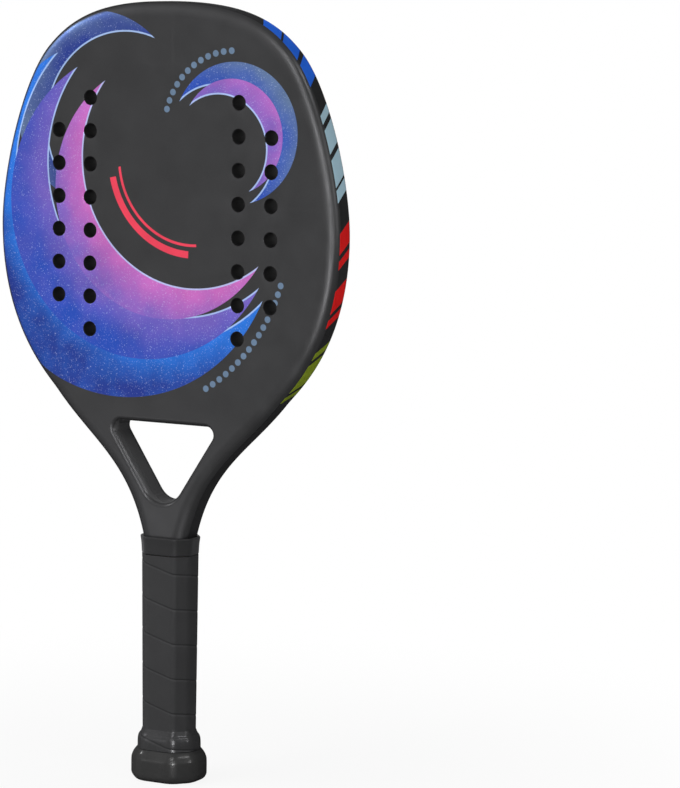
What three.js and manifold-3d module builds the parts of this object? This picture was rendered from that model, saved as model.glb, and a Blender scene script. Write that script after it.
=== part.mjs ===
// Beach tennis racket in millimetres. The origin is the middle of the butt end, +Z runs up the handle to
// the crown, +X crosses the face, and the front face looks along -Y.
import * as THREE from "three";
import { mergeVertices } from "three/addons/utils/BufferGeometryUtils.js";
import Module from "manifold-3d";

const wasm = await Module();
wasm.setup();

// Head, from the crown down to the collar
const racketLength = 472.5;
const headWidth = 234.8;
const widestHeight = 335.5;
const thickness = 22;
const shaftWidth = 30.3;
const edgeRoundWidth = 8.5; // how far the soft edge reaches in over the face
const edgeRoundDepth = 6; // and how far it reaches down the side
const neckLength = 22; // the shaft narrows over this length, below the collar's rim

// Throat opening: two straight walls under a level top, over a round floor
const shaftLength = 21.6; // from the collar's rim up to the floor of the opening
const throatHeight = 47.4;
const throatWidth = 75.4; // where the walls would meet the top
const throatCornerRadius = 4.6;
const throatFloorRadius = 13;
const throatRimRound = 4;

// Layers of the head and the moulded tube round it
const fitGap = 0.3; // clearance between pieces that seat on each other
const skinThickness = 1;
const tubeWidth = 11.4;
const tubeWall = 1.6;
const tubeEndHeight = 12;
const skinTuck = 9.2; // how far the skins run down under the collar's rim
const gussetTuck = 6.8;
const bridgeHeight = 14;
const bridgeArcRadius = 160;

// Holes through the head, in rows at one pitch
const holeRadius = 4.55;
const holePitch = 20;
const holeFieldRise = 8.5; // the middle of the rows lies this far over the head's widest place
const innerColumnOffset = 51.4;
const outerColumnOffset = 73.5;
const innerColumnHoles = 8;
const outerColumnHoles = 6;

// Grip section over the tape, at the collar: an octagon with rounded corners
const gripWidth = 34.2;
const gripDepth = 26.8;
const gripFrontFlat = 20.2; // between the corners before they are rounded
const gripSideFlat = 10.8;
const gripCornerRadius = 6;
const gripLowerShare = 0.945; // the section at the butt cap against the section at the collar

// Grip tape, one strip wound down the handle
const tapeThickness = 1.6;
const tapePitch = 21.45;
const firstSeamDrop = 9.8; // from the tape's upper edge to where the seam first passes the front right corner
const seamGap = 0.6;
const seamBevel = 0.5; // the seam opens by this much more at the surface

// Collar
const collarTopHeight = 150.3;
const collarHeight = 10.8;
const collarFlare = 0.9;
const collarRimRound = 0.7;
const collarFootShare = 0.17; // how much of the flare the collar already has just above its lower edge

// Butt cap: a neck under the tape, and a flared knob below it
const knobFlare = 7;
const knobShoulderHeight = 19.2;
const knobFootRound = 4.5;
const neckBulge = 2.9; // the tape stands out by this much over the neck
const bulgeHeight = 12;
const neckRows = 4; // the cap's neck follows this many rows of the bulge
const capSocketHeight = 17;
const capWall = 2.4;
const capFloor = 3;
const cordRoom = 4; // free height over the floor, where the wrist cord is knotted
const cordHoleRadius = 4;

// Facets and modelling tolerances
const holeSides = 14;
const arcSteps = 4;
const overrun = 2;
const weldTolerance = 0.0001;

// Values that follow from the sizes above
const headHalf = headWidth / 2;
const shaftHalf = shaftWidth / 2;
const halfThickness = thickness / 2;
const handleHalf = tubeWidth + fitGap;
const bandHalf = halfThickness - edgeRoundDepth;
const crownRise = racketLength - widestHeight;
const holeCentreHeight = widestHeight + holeFieldRise;
const neckEndHeight = collarTopHeight - neckLength;
const collarBottomHeight = collarTopHeight - collarHeight;
const tapeTopHeight = collarBottomHeight - fitGap;
const tapeBottomHeight = knobShoulderHeight + fitGap;
const firstSeamHeight = tapeTopHeight - firstSeamDrop;
const skinEndHeight = collarTopHeight - skinTuck;
const gussetEndHeight = collarTopHeight - gussetTuck;
const palletTopHeight = skinEndHeight - 2 * fitGap;
const palletBottomHeight = capFloor + cordRoom;
const palletInset = tapeThickness + fitGap;

// The walls of the opening touch the floor's arc. The legs run beside the straight part of the walls.
const throatFloorHeight = collarTopHeight + shaftLength;
const throatTopHeight = throatFloorHeight + throatHeight;
const floorCentre = new THREE.Vector2(0, throatFloorHeight + throatFloorRadius);
const fromFloorCentre = new THREE.Vector2(throatWidth / 2, throatTopHeight).sub(floorCentre);
const throatHalfAngle = Math.acos(throatFloorRadius / fromFloorCentre.length()) - fromFloorCentre.angle();
const throatApexHeight = throatTopHeight - throatWidth / 2 / Math.tan(throatHalfAngle);
const legTopHeight = throatTopHeight - throatCornerRadius * (1 + Math.sin(throatHalfAngle));
const legBottomHeight = floorCentre.y - throatFloorRadius * Math.sin(throatHalfAngle);
const throatMiddleHeight = (throatTopHeight + throatFloorHeight) / 2;

// The half outline is four cubic curves. Above the widest place the points are shares of the half width and
// of the rise to the crown. The bowl's are shares of what the width loses down to the shaft, and of the drop
// to the opening's top. The leg's are shares of the same width, and of the rise from the collar to that top.
const crownShares = [[0, 1], [0.387, 1], [0.5735, 0.927], [0.7155, 0.7937]];
const shoulderShares = [[0.7155, 0.7937], [0.877, 0.642], [1, 0.2364], [1, 0]];
const bowlShares = [[1, 0], [1, 0.5515], [0.6757, 0.791], [0.6013, 0.8693]];
const legShares = [[0.1071, 0.642], [0, 0]];
const legHandleShare = 0.461; // the leg's curve goes on along the bowl's end by this share of its height

// The bulge over the cap's neck: shares of its height, from its lower edge, and of how far it stands out
const bulgeShares = [[0, 1.08], [0.5, 0.97], [0.67, 0.74], [0.78, 0.4], [1, 0]];

// The knob's outside from its foot to its shoulder: shares of the height and of how far it flares
const knobShares = [[0.18, 1], [0.63, 0.985], [0.76, 0.91], [0.87, 0.77], [0.95, 0.61], [1, 0.49]];

function solidFrom(triangles) {
  const corners = new Float32Array(triangles.flatMap((corner) => [corner.x, corner.y, corner.z]));
  return solidOf(new THREE.BufferGeometry().setAttribute("position", new THREE.BufferAttribute(corners, 3)));
}

function solidOf(geometry) {
  const bare = new THREE.BufferGeometry().setAttribute("position", geometry.getAttribute("position"));
  bare.setIndex(geometry.getIndex());
  const welded = mergeVertices(bare, weldTolerance);
  const vertProperties = new Float32Array(welded.getAttribute("position").array);
  const triVerts = new Uint32Array(welded.getIndex().array);
  return new wasm.Manifold(new wasm.Mesh({ numProp: 3, vertProperties, triVerts }));
}

function geometryOf(solid) {
  const mesh = solid.getMesh();
  const geometry = new THREE.BufferGeometry();
  geometry.setAttribute("position", new THREE.BufferAttribute(mesh.vertProperties, mesh.numProp));
  geometry.setIndex(new THREE.BufferAttribute(mesh.triVerts, 1));
  geometry.computeVertexNormals();
  return geometry;
}

// Adds the wall between two closed loops of as many points. It faces out where the loops turn left as seen
// from the side that the second loop lies on.
function addWall(triangles, lower, upper) {
  lower.forEach((corner, i) => {
    const next = (i + 1) % lower.length;
    triangles.push(corner, lower[next], upper[next], corner, upper[next], upper[i]);
  });
}

// Fills a loop with a zigzag between its two sides, facing the side from which the loop turns left
function addCap(triangles, loop) {
  let right = 0;
  let left = loop.length - 1;
  while (left - right > 1) {
    triangles.push(loop[right], loop[right + 1], loop[left]);
    right += 1;
    if (left - right > 1) triangles.push(loop[right], loop[left - 1], loop[left]);
    left -= 1;
  }
}

// A solid from a stack of loops, closed by a cap at each end, or into a ring where `closed` is set
function loftedSolid(loops, closed = false) {
  const triangles = [];
  loops.slice(1).forEach((loop, i) => addWall(triangles, loops[i], loop));
  if (closed) {
    addWall(triangles, loops.at(-1), loops[0]);
    return solidFrom(triangles);
  }
  const [first, ...rest] = loops[0];
  addCap(triangles, [first, ...rest.reverse()]);
  addCap(triangles, loops.at(-1));
  return solidFrom(triangles);
}

// The points of a convex polygon, turning left, with an arc at each corner; `out` is the way off the shape
function roundedCorners(corners) {
  return corners.flatMap(({ at, radius, steps }, i) => {
    const arriving = at.clone().sub(corners.at(i - 1).at).normalize();
    const leaving = corners[(i + 1) % corners.length].at.clone().sub(at).normalize();
    const turn = Math.acos(arriving.dot(leaving));
    const firstOut = new THREE.Vector2(arriving.y, -arriving.x);
    const centre = at.clone().addScaledVector(arriving, -radius * Math.tan(turn / 2));
    centre.addScaledVector(firstOut, -radius);
    return Array.from({ length: steps + 1 }, (_, step) => {
      const out = firstOut.clone().rotateAround(new THREE.Vector2(), (turn * step) / steps);
      return { at: centre.clone().addScaledVector(out, radius), out };
    });
  });
}

// Stations down one side, from the crown to the lower end of the tube; `inward` leads into the head
function halfOutline() {
  const place = ([across, up]) => new THREE.Vector2(across * headHalf, widestHeight + up * crownRise);
  const lowWidth = (across) => shaftHalf + across * (headHalf - shaftHalf);
  const placeBowl = ([across, down]) =>
    new THREE.Vector2(lowWidth(across), widestHeight - down * (widestHeight - throatTopHeight));
  const placeLeg = ([across, up]) =>
    new THREE.Vector2(lowWidth(across), collarTopHeight + up * (throatTopHeight - collarTopHeight));
  const bowl = bowlShares.map(placeBowl);
  const onward = bowl[3].clone().sub(bowl[2]).setLength(legHandleShare * (bowl[3].y - collarTopHeight));
  const leg = [bowl[3], bowl[3].clone().add(onward), ...legShares.map(placeLeg)];
  const third = neckLength / 3;
  const neck = [
    leg[3],
    leg[3].clone().addScaledVector(leg[3].clone().sub(leg[2]).normalize(), third),
    new THREE.Vector2(handleHalf, neckEndHeight + third),
    new THREE.Vector2(handleHalf, neckEndHeight),
  ];
  const runs = [
    [crownShares.map(place), 8],
    [shoulderShares.map(place), 8],
    [bowl, 8],
    [leg, 12],
    [neck, 4],
  ];
  const stations = runs.flatMap(([points, steps], run) => {
    const curve = new THREE.CubicBezierCurve(...points);
    return Array.from({ length: steps + 1 }, (_, step) => {
      const along = curve.getTangent(step / steps);
      return { at: curve.getPoint(step / steps), inward: new THREE.Vector2(along.y, -along.x) };
    }).slice(run ? 1 : 0);
  });
  stations.push({ at: new THREE.Vector2(handleHalf, tubeEndHeight), inward: new THREE.Vector2(-1, 0) });
  return stations;
}

function mirrored({ at, inward }) {
  return { at: new THREE.Vector2(-at.x, at.y), inward: new THREE.Vector2(-inward.x, inward.y) };
}

const rightSide = halfOutline();
const leftSide = rightSide.map(mirrored);
const outline = [...rightSide, ...leftSide.slice(1).reverse()];

function throatOutline() {
  const top = { radius: throatCornerRadius, steps: 4 };
  return roundedCorners([
    { ...top, at: new THREE.Vector2(throatWidth / 2, throatTopHeight) },
    { ...top, at: new THREE.Vector2(-throatWidth / 2, throatTopHeight) },
    { radius: throatFloorRadius, steps: 6, at: new THREE.Vector2(0, throatApexHeight) },
  ]).map(({ at, out }) => ({ at, inward: out })).reverse();
}

const throat = throatOutline();

function moved({ at, inward }, inset) {
  return at.clone().addScaledVector(inward, inset);
}

// Levels of the soft edge on one side of the racket, from the side wall to the face. `offset` is how deep
// the surface lies under the outside of the skin.
function edgeLevels(side, offset, steps) {
  return Array.from({ length: steps + 1 }, (_, step) => {
    const angle = (Math.PI / 2) * (step / steps);
    const reach = 1 - Math.cos(angle);
    return {
      depth: side * (bandHalf + (edgeRoundDepth - offset) * Math.sin(angle)),
      outer: offset + (edgeRoundWidth - offset) * reach,
      inner: offset + (throatRimRound - offset) * reach,
    };
  });
}

// The racket's whole silhouette with its throat opening, as a solid through levels from front to back
function silhouetteSolid(levels) {
  const loopAt = (stations, inset, depth) =>
    stations.map((station) => {
      const at = moved(station, inset);
      return new THREE.Vector3(at.x, depth, at.y);
    });
  const [front, back] = [levels[0], levels.at(-1)];
  const through = [
    { ...front, depth: front.depth - overrun },
    ...levels,
    { ...back, depth: back.depth + overrun },
  ];
  const whole = loftedSolid(levels.map(({ depth, outer }) => loopAt(outline, outer, depth)));
  return whole.subtract(loftedSolid(through.map(({ depth, inner }) => loopAt(throat, inner, depth))));
}

// The inside of the laminate: its side band lies open, and the rest is sunk to seat the skins
function frameLevels(grow = 0) {
  const shoulder = bandHalf - fitGap + grow;
  const arc = (side) => {
    const levels = edgeLevels(side, skinThickness + fitGap - grow, 3);
    levels[0].depth = side * shoulder;
    return levels;
  };
  const band = (side) => ({ depth: side * shoulder, outer: -grow, inner: -grow });
  return [...arc(-1).reverse(), band(-1), band(1), ...arc(1)];
}

function prism(points, depth) {
  const geometry = new THREE.ExtrudeGeometry(new THREE.Shape(points), { depth, bevelEnabled: false });
  return solidOf(geometry.rotateX(Math.PI / 2).translate(0, depth / 2, 0));
}

// Everything that the tube goes round, `gap` clear of the tube. Beside the opening the tube fills the legs.
function insideTube(gap) {
  const right = rightSide.map((station) => moved(station, tubeWidth + gap));
  const kept = gap ? right.filter((point, i) => i === 0 || point.x > gap) : right;
  if (!gap) kept.push(new THREE.Vector2(kept.at(-1).x, tubeEndHeight - overrun));
  const left = kept.slice(1).map((point) => new THREE.Vector2(-point.x, point.y));
  const whole = prism([...kept, ...left.reverse()], thickness + overrun);
  return whole.subtract(blockBetween(legBottomHeight - gap, legTopHeight + gap));
}

// The centre of the arc that the bridge's upper side follows
function bridgeArcCentre() {
  return new THREE.Vector2(0, throatTopHeight + bridgeHeight + bridgeArcRadius);
}

// A solid under the bridge's upper side, which is an arc across the head
function belowBridgeTop(rise) {
  const span = Math.min(headHalf, bridgeArcRadius * Math.SQRT1_2);
  const centre = bridgeArcCentre().y + rise;
  const reach = Math.asin(span / bridgeArcRadius);
  const shape = new THREE.Shape();
  shape.moveTo(-span, tubeEndHeight);
  shape.lineTo(span, tubeEndHeight);
  shape.absarc(0, centre, bridgeArcRadius, reach - Math.PI / 2, -reach - Math.PI / 2, true);
  const depth = thickness + overrun;
  const geometry = new THREE.ExtrudeGeometry(shape, { depth, bevelEnabled: false, curveSegments: 16 });
  return solidOf(geometry.rotateX(Math.PI / 2).translate(0, depth / 2, 0));
}

function blockBetween(low, high) {
  const block = new THREE.BoxGeometry(headWidth + overrun, headWidth, high - low);
  return solidOf(block.translate(0, 0, (low + high) / 2));
}

// The holes' centres: those of the columns that lie whole inside the foam core
function holePlaces() {
  const margin = holeRadius + fitGap;
  const column = (offset, holes) =>
    Array.from({ length: holes }, (_, row) => {
      const height = holeCentreHeight + holePitch * (row - (holes - 1) / 2);
      return new THREE.Vector2(offset, height);
    });
  const columns = [1, -1].flatMap((side) => [
    ...column(side * innerColumnOffset, innerColumnHoles),
    ...column(side * outerColumnOffset, outerColumnHoles),
  ]);
  const insideFrame = (place) => outline.every(({ at }) => at.distanceTo(place) > tubeWidth + margin);
  const aboveBridge = (place) => place.distanceTo(bridgeArcCentre()) < bridgeArcRadius - margin;
  return columns.filter((place) => insideFrame(place) && aboveBridge(place));
}

function drilled(solid) {
  const drill = new THREE.CylinderGeometry(holeRadius, holeRadius, thickness + overrun, holeSides);
  return holePlaces().reduce(
    (left, place) => left.subtract(solidOf(drill.clone().translate(place.x, 0, place.y))),
    solid,
  );
}

// A face skin: a thin tray over the whole silhouette whose rim turns down to the side band
function faceSkin(side) {
  const order = (levels) => (side < 0 ? levels.reverse() : levels);
  const outside = silhouetteSolid(order(edgeLevels(side, 0, arcSteps)));
  const insideLevels = edgeLevels(side, skinThickness, 3);
  const mouth = { ...insideLevels[0], depth: side * (bandHalf - overrun) };
  const inside = silhouetteSolid(order([mouth, ...insideLevels]));
  return drilled(outside.subtract(inside).intersect(blockBetween(skinEndHeight, racketLength + overrun)));
}

// The room inside the tube, from one open end over the crown to the other
function tubeHollow() {
  const offset = skinThickness + fitGap + tubeWall;
  const levels = edgeLevels(1, offset, 2);
  const near = levels.map(({ depth, outer }) => [outer, depth]);
  const far = levels.map(({ depth, inner }) => [tubeWidth - tubeWall - (inner - offset), depth]);
  const half = [...near, ...far.reverse()];
  const section = [...half.map(([inset, depth]) => [inset, -depth]), ...half.slice().reverse()];
  const endHeight = tubeEndHeight - overrun;
  const end = { at: new THREE.Vector2(handleHalf, endHeight), inward: new THREE.Vector2(-1, 0) };
  const path = [mirrored(end), ...leftSide.slice(1).reverse(), ...rightSide, end];
  return loftedSolid(
    path.map((station) =>
      section.map(([inset, depth]) => {
        const at = moved(station, inset);
        return new THREE.Vector3(at.x, depth, at.y);
      }),
    ),
  );
}

const gripSection = roundedCorners(
  [
    [gripFrontFlat, -gripDepth],
    [gripWidth, -gripSideFlat],
    [gripWidth, gripSideFlat],
    [gripFrontFlat, gripDepth],
    [-gripFrontFlat, gripDepth],
    [-gripWidth, gripSideFlat],
    [-gripWidth, -gripSideFlat],
    [-gripFrontFlat, -gripDepth],
  ].map(([x, y]) => ({ at: new THREE.Vector2(x / 2, y / 2), radius: gripCornerRadius, steps: 2 })),
);

// The handle's section at a height, `grow` outside the surface of the tape
function gripLoop(height, grow) {
  const down = (tapeTopHeight - height) / (tapeTopHeight - tapeBottomHeight);
  const scale = 1 - (1 - gripLowerShare) * down;
  return gripSection.map(({ at, out }) => {
    const point = at.clone().multiplyScalar(scale).addScaledVector(out, grow);
    return new THREE.Vector3(point.x, point.y, height);
  });
}

function bulgeProfile() {
  return bulgeShares.map(([up, out]) => [tapeBottomHeight + up * bulgeHeight, out * neckBulge]);
}

// One half of the moulded foam that makes the tube ends into an octagonal handle
function handlePallet(side, frame) {
  const loops = [palletBottomHeight, palletTopHeight].map((height) => gripLoop(height, -palletInset));
  const half = new THREE.BoxGeometry(gripWidth, gripDepth, racketLength);
  const block = half.translate(0, side * (gripDepth / 2 + fitGap / 2), racketLength / 2);
  return loftedSolid(loops).subtract(frame).intersect(solidOf(block));
}

// The seam between the tape's turns: a thin helical wall through the tape, wider at the surface
function seamTurns() {
  const lengths = gripSection.map(({ at }, i) => at.distanceTo(gripSection[(i + 1) % gripSection.length].at));
  const around = lengths.reduce((sum, length) => sum + length);
  let travelled = 0;
  const shares = lengths.map((length) => {
    travelled += length;
    return (travelled - length) / around;
  });
  const first = -Math.ceil((tapeTopHeight + overrun - firstSeamHeight) / tapePitch);
  const last = Math.ceil((firstSeamHeight - tapeBottomHeight + overrun) / tapePitch);
  const turns = Array.from({ length: last - first }, (_, turn) => first + turn);
  return turns.flatMap((turn) =>
    shares.map((share, corner) => ({ corner, height: firstSeamHeight - tapePitch * (turn + share) })),
  );
}

function seamPoint({ corner, height }, grow, rise) {
  return gripLoop(height + rise, grow)[corner];
}

function seamCutter() {
  const inner = -tapeThickness - neckBulge;
  const outer = neckBulge + overrun;
  const flare = (seamBevel / tapeThickness) * (outer + tapeThickness);
  return loftedSolid(
    seamTurns().map((station) => [
      seamPoint(station, inner, -seamGap / 2),
      seamPoint(station, inner, seamGap / 2),
      seamPoint(station, outer, (seamGap + flare) / 2),
      seamPoint(station, outer, -(seamGap + flare) / 2),
    ]),
  );
}

// The least distance between neighbouring turns, measured from points on one side of the seam to the other
function leastSeamGap() {
  const turns = seamTurns();
  const side = (rise) => turns.map((station) => seamPoint(station, -tapeThickness, rise));
  const lower = side(-seamGap / 2);
  const upper = side(seamGap / 2);
  const nearest = new THREE.Vector3();
  const gaps = upper.flatMap((point) =>
    lower.slice(1).map((end, i) => {
      new THREE.Line3(lower[i], end).closestPointToPoint(point, true, nearest);
      return nearest.distanceTo(point);
    }),
  );
  return Math.min(...gaps);
}

function gripTape() {
  const profile = [...bulgeProfile(), [tapeTopHeight, 0]];
  const outside = profile.map(([height, grow]) => gripLoop(height, grow));
  const inside = profile.map(([height, grow]) => gripLoop(height, grow - tapeThickness));
  return loftedSolid([...outside, ...inside.reverse()], true).subtract(seamCutter());
}

function collar(skins) {
  const rim = collarFlare - collarRimRound;
  const loops = [
    gripLoop(collarBottomHeight, 0),
    gripLoop(collarBottomHeight + collarRimRound, collarFlare * collarFootShare),
    gripLoop(collarTopHeight - collarRimRound, collarFlare),
    gripLoop(collarTopHeight, rim),
    gripLoop(collarTopHeight - collarRimRound, rim - collarRimRound),
  ];
  const seat = [collarBottomHeight - overrun, palletTopHeight + fitGap];
  const pallet = loftedSolid(seat.map((height) => gripLoop(height, fitGap - palletInset)));
  return loftedSolid(loops).subtract(skins).subtract(pallet);
}

function buttCap() {
  const foot = [Math.PI / 4, Math.PI / 2].map((angle) => [
    knobFootRound * (1 - Math.sin(angle)),
    knobFlare - knobFootRound * (1 - Math.cos(angle)),
  ]);
  const flare = knobShares.map(([up, out]) => [up * knobShoulderHeight, out * knobFlare]);
  const neck = bulgeProfile()
    .slice(0, neckRows)
    .map(([height, grow]) => [height, grow - tapeThickness - fitGap]);
  neck[0][0] = knobShoulderHeight;
  const socket = fitGap - palletInset;
  const inside = [
    [neck.at(-1)[0], socket],
    [capSocketHeight, socket],
    [capSocketHeight - capWall, knobFlare - capWall],
    [capFloor + knobFootRound, knobFlare - capWall],
    [capFloor, knobFlare - knobFootRound],
  ];
  const profile = [...foot.reverse(), ...flare, ...neck, ...inside];
  const reach = 2 * (capFloor + overrun);
  const hole = new THREE.CylinderGeometry(cordHoleRadius, cordHoleRadius, reach, holeSides);
  return loftedSolid(profile.map(([height, grow]) => gripLoop(height, grow)))
    .subtract(solidOf(hole.rotateX(Math.PI / 2)));
}

const racket = new THREE.Group();

function addPiece(name, solid, color, roughness, metalness = 0) {
  const material = new THREE.MeshStandardMaterial({ color, roughness, metalness });
  const mesh = new THREE.Mesh(geometryOf(solid), material);
  mesh.name = name;
  racket.add(mesh);
}

const laminate = silhouetteSolid(frameLevels());
const laminateRoom = silhouetteSolid(frameLevels(fitGap));
const roomLevels = (side) => edgeLevels(side, -fitGap, arcSteps);
const skinRoom = silhouetteSolid([...roomLevels(-1).reverse(), ...roomLevels(1)]);
const inside = insideTube(fitGap);
const belowBridge = belowBridgeTop(0);
const coreRoom = blockBetween(throatMiddleHeight, racketLength).subtract(belowBridgeTop(fitGap));
const coreHeight = 2 * (halfThickness - skinThickness - fitGap);
const coreSlab = new THREE.BoxGeometry(headWidth, coreHeight, racketLength).translate(0, 0, racketLength / 2);
const filler = laminate.intersect(inside);

addPiece("front_face_skin", faceSkin(-1), 0x3c3c3d, 0.45);
addPiece("back_face_skin", faceSkin(1), 0x3c3c3d, 0.45);
addPiece("foam_core", drilled(inside.intersect(coreRoom).intersect(solidOf(coreSlab))), 0x17181a, 0.9);
addPiece("frame_tube", laminate.subtract(insideTube(0)).subtract(tubeHollow()), 0x202123, 0.35);
const bridgeRoom = belowBridge.intersect(blockBetween(throatMiddleHeight, racketLength));
addPiece("throat_bridge", filler.intersect(bridgeRoom), 0x242527, 0.4);
addPiece("throat_gusset", filler.intersect(blockBetween(gussetEndHeight, throatMiddleHeight)), 0x242527, 0.4);
addPiece("front_handle_pallet", handlePallet(-1, laminateRoom), 0xcbb98f, 0.9);
addPiece("back_handle_pallet", handlePallet(1, laminateRoom), 0xcbb98f, 0.9);
addPiece("grip_tape", gripTape(), 0x2f2f30, 0.7);
addPiece("grip_collar", collar(skinRoom), 0x2c2c2d, 0.6);
addPiece("butt_cap", buttCap(), 0x2a2a2b, 0.4);

console.log("Grip tape: least gap between its turns " + leastSeamGap().toFixed(3) + " mm");

export default racket;
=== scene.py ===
"""Beach tennis racket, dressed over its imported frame.

Sizes are in millimetres and become metres where a mesh is made. +Z runs up the handle to the
crown, +X crosses the face, and the front face looks along -Y. A point that isn't on the painted
edge is given the distance OFF_EDGE along it, which lies past all the paint.
"""

from __future__ import annotations

import logging
import math
from collections.abc import Iterable, Mapping, Sequence
from dataclasses import dataclass, field
from enum import Enum

import bmesh
import bpy
from mathutils import Matrix, Vector
from mathutils.geometry import delaunay_2d_cdt

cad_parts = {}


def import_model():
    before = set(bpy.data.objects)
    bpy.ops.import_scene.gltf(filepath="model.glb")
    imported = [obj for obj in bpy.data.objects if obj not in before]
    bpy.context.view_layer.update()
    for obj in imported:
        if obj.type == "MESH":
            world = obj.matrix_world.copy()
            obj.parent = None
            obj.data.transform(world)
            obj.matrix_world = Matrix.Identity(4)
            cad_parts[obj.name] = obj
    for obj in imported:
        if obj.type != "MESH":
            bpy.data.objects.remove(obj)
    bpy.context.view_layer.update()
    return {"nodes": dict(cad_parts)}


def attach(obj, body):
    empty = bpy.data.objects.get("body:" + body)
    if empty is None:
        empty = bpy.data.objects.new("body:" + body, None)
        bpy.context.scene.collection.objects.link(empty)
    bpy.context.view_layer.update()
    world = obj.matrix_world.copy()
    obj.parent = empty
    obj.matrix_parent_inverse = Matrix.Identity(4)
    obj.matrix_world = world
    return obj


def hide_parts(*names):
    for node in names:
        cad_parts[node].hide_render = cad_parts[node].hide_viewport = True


LOG = logging.getLogger("racket")
MM = 0.001
BODY = "root"
OFF_EDGE = 1000.0
BLACK = (0.0, 0.0, 0.0, 1.0)
WHITE = (1.0, 1.0, 1.0, 1.0)

Mesh = bpy.types.Mesh
Node = bpy.types.Node
Piece = bpy.types.Object
Socket = bpy.types.NodeSocket
Feed = Socket | float | int | str | Sequence[float]
Profile = tuple[tuple[float, float], ...]


class Side(Enum):
    """A side of the racket, by its direction along Y."""

    FRONT = -1
    BACK = 1


class Tone(Enum):
    """The colours of the racket, as they look on a screen."""

    LACQUER = "#3a3a3b"
    # a lighter copy of the lacquer: painted light on the throat's walls and the face's soft rims
    LAMINATE = "#505051"
    # the side band's near-black: partly its paint, partly painted shade of the side that turns from
    # the light
    SIDE_BLACK_AND_SHADE = "#363637"
    BORE_BLACK = "#151516"
    CORE = "#17181a"
    TAPE = "#3c3c3d"
    # a paler tape tone for the painted highlight on the edge of the turn below each seam
    WORN_TAPE = "#626263"
    SLEEVE = "#2f2f30"
    CAP = "#393939"
    PALLET = "#cbb98f"
    NIGHT_BLUE = "#2b3a86"
    BLUE = "#2d4cab"
    BRIGHT_BLUE = "#2f74d4"
    STEEL_BLUE = "#64788f"
    PURPLE = "#715eb2"
    PINK = "#bd66b2"
    PALE_LINE = "#a9c3ea"
    CORAL = "#dc4458"
    SIDE_BLUE = "#2f6bdc"
    SIDE_PALE = "#a9c7d5"
    SIDE_RED = "#dc2828"
    SIDE_OLIVE = "#84942f"
    SPECK = "#c9d6ee"

    @property
    def linear(self) -> tuple[float, float, float, float]:
        """The colour as linear light, with full cover."""
        shares = (int(self.value[i : i + 2], 16) / 255 for i in (1, 3, 5))
        light = [s / 12.92 if s <= 0.04045 else ((s + 0.055) / 1.055) ** 2.4 for s in shares]
        return (*light, 1.0)


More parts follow.
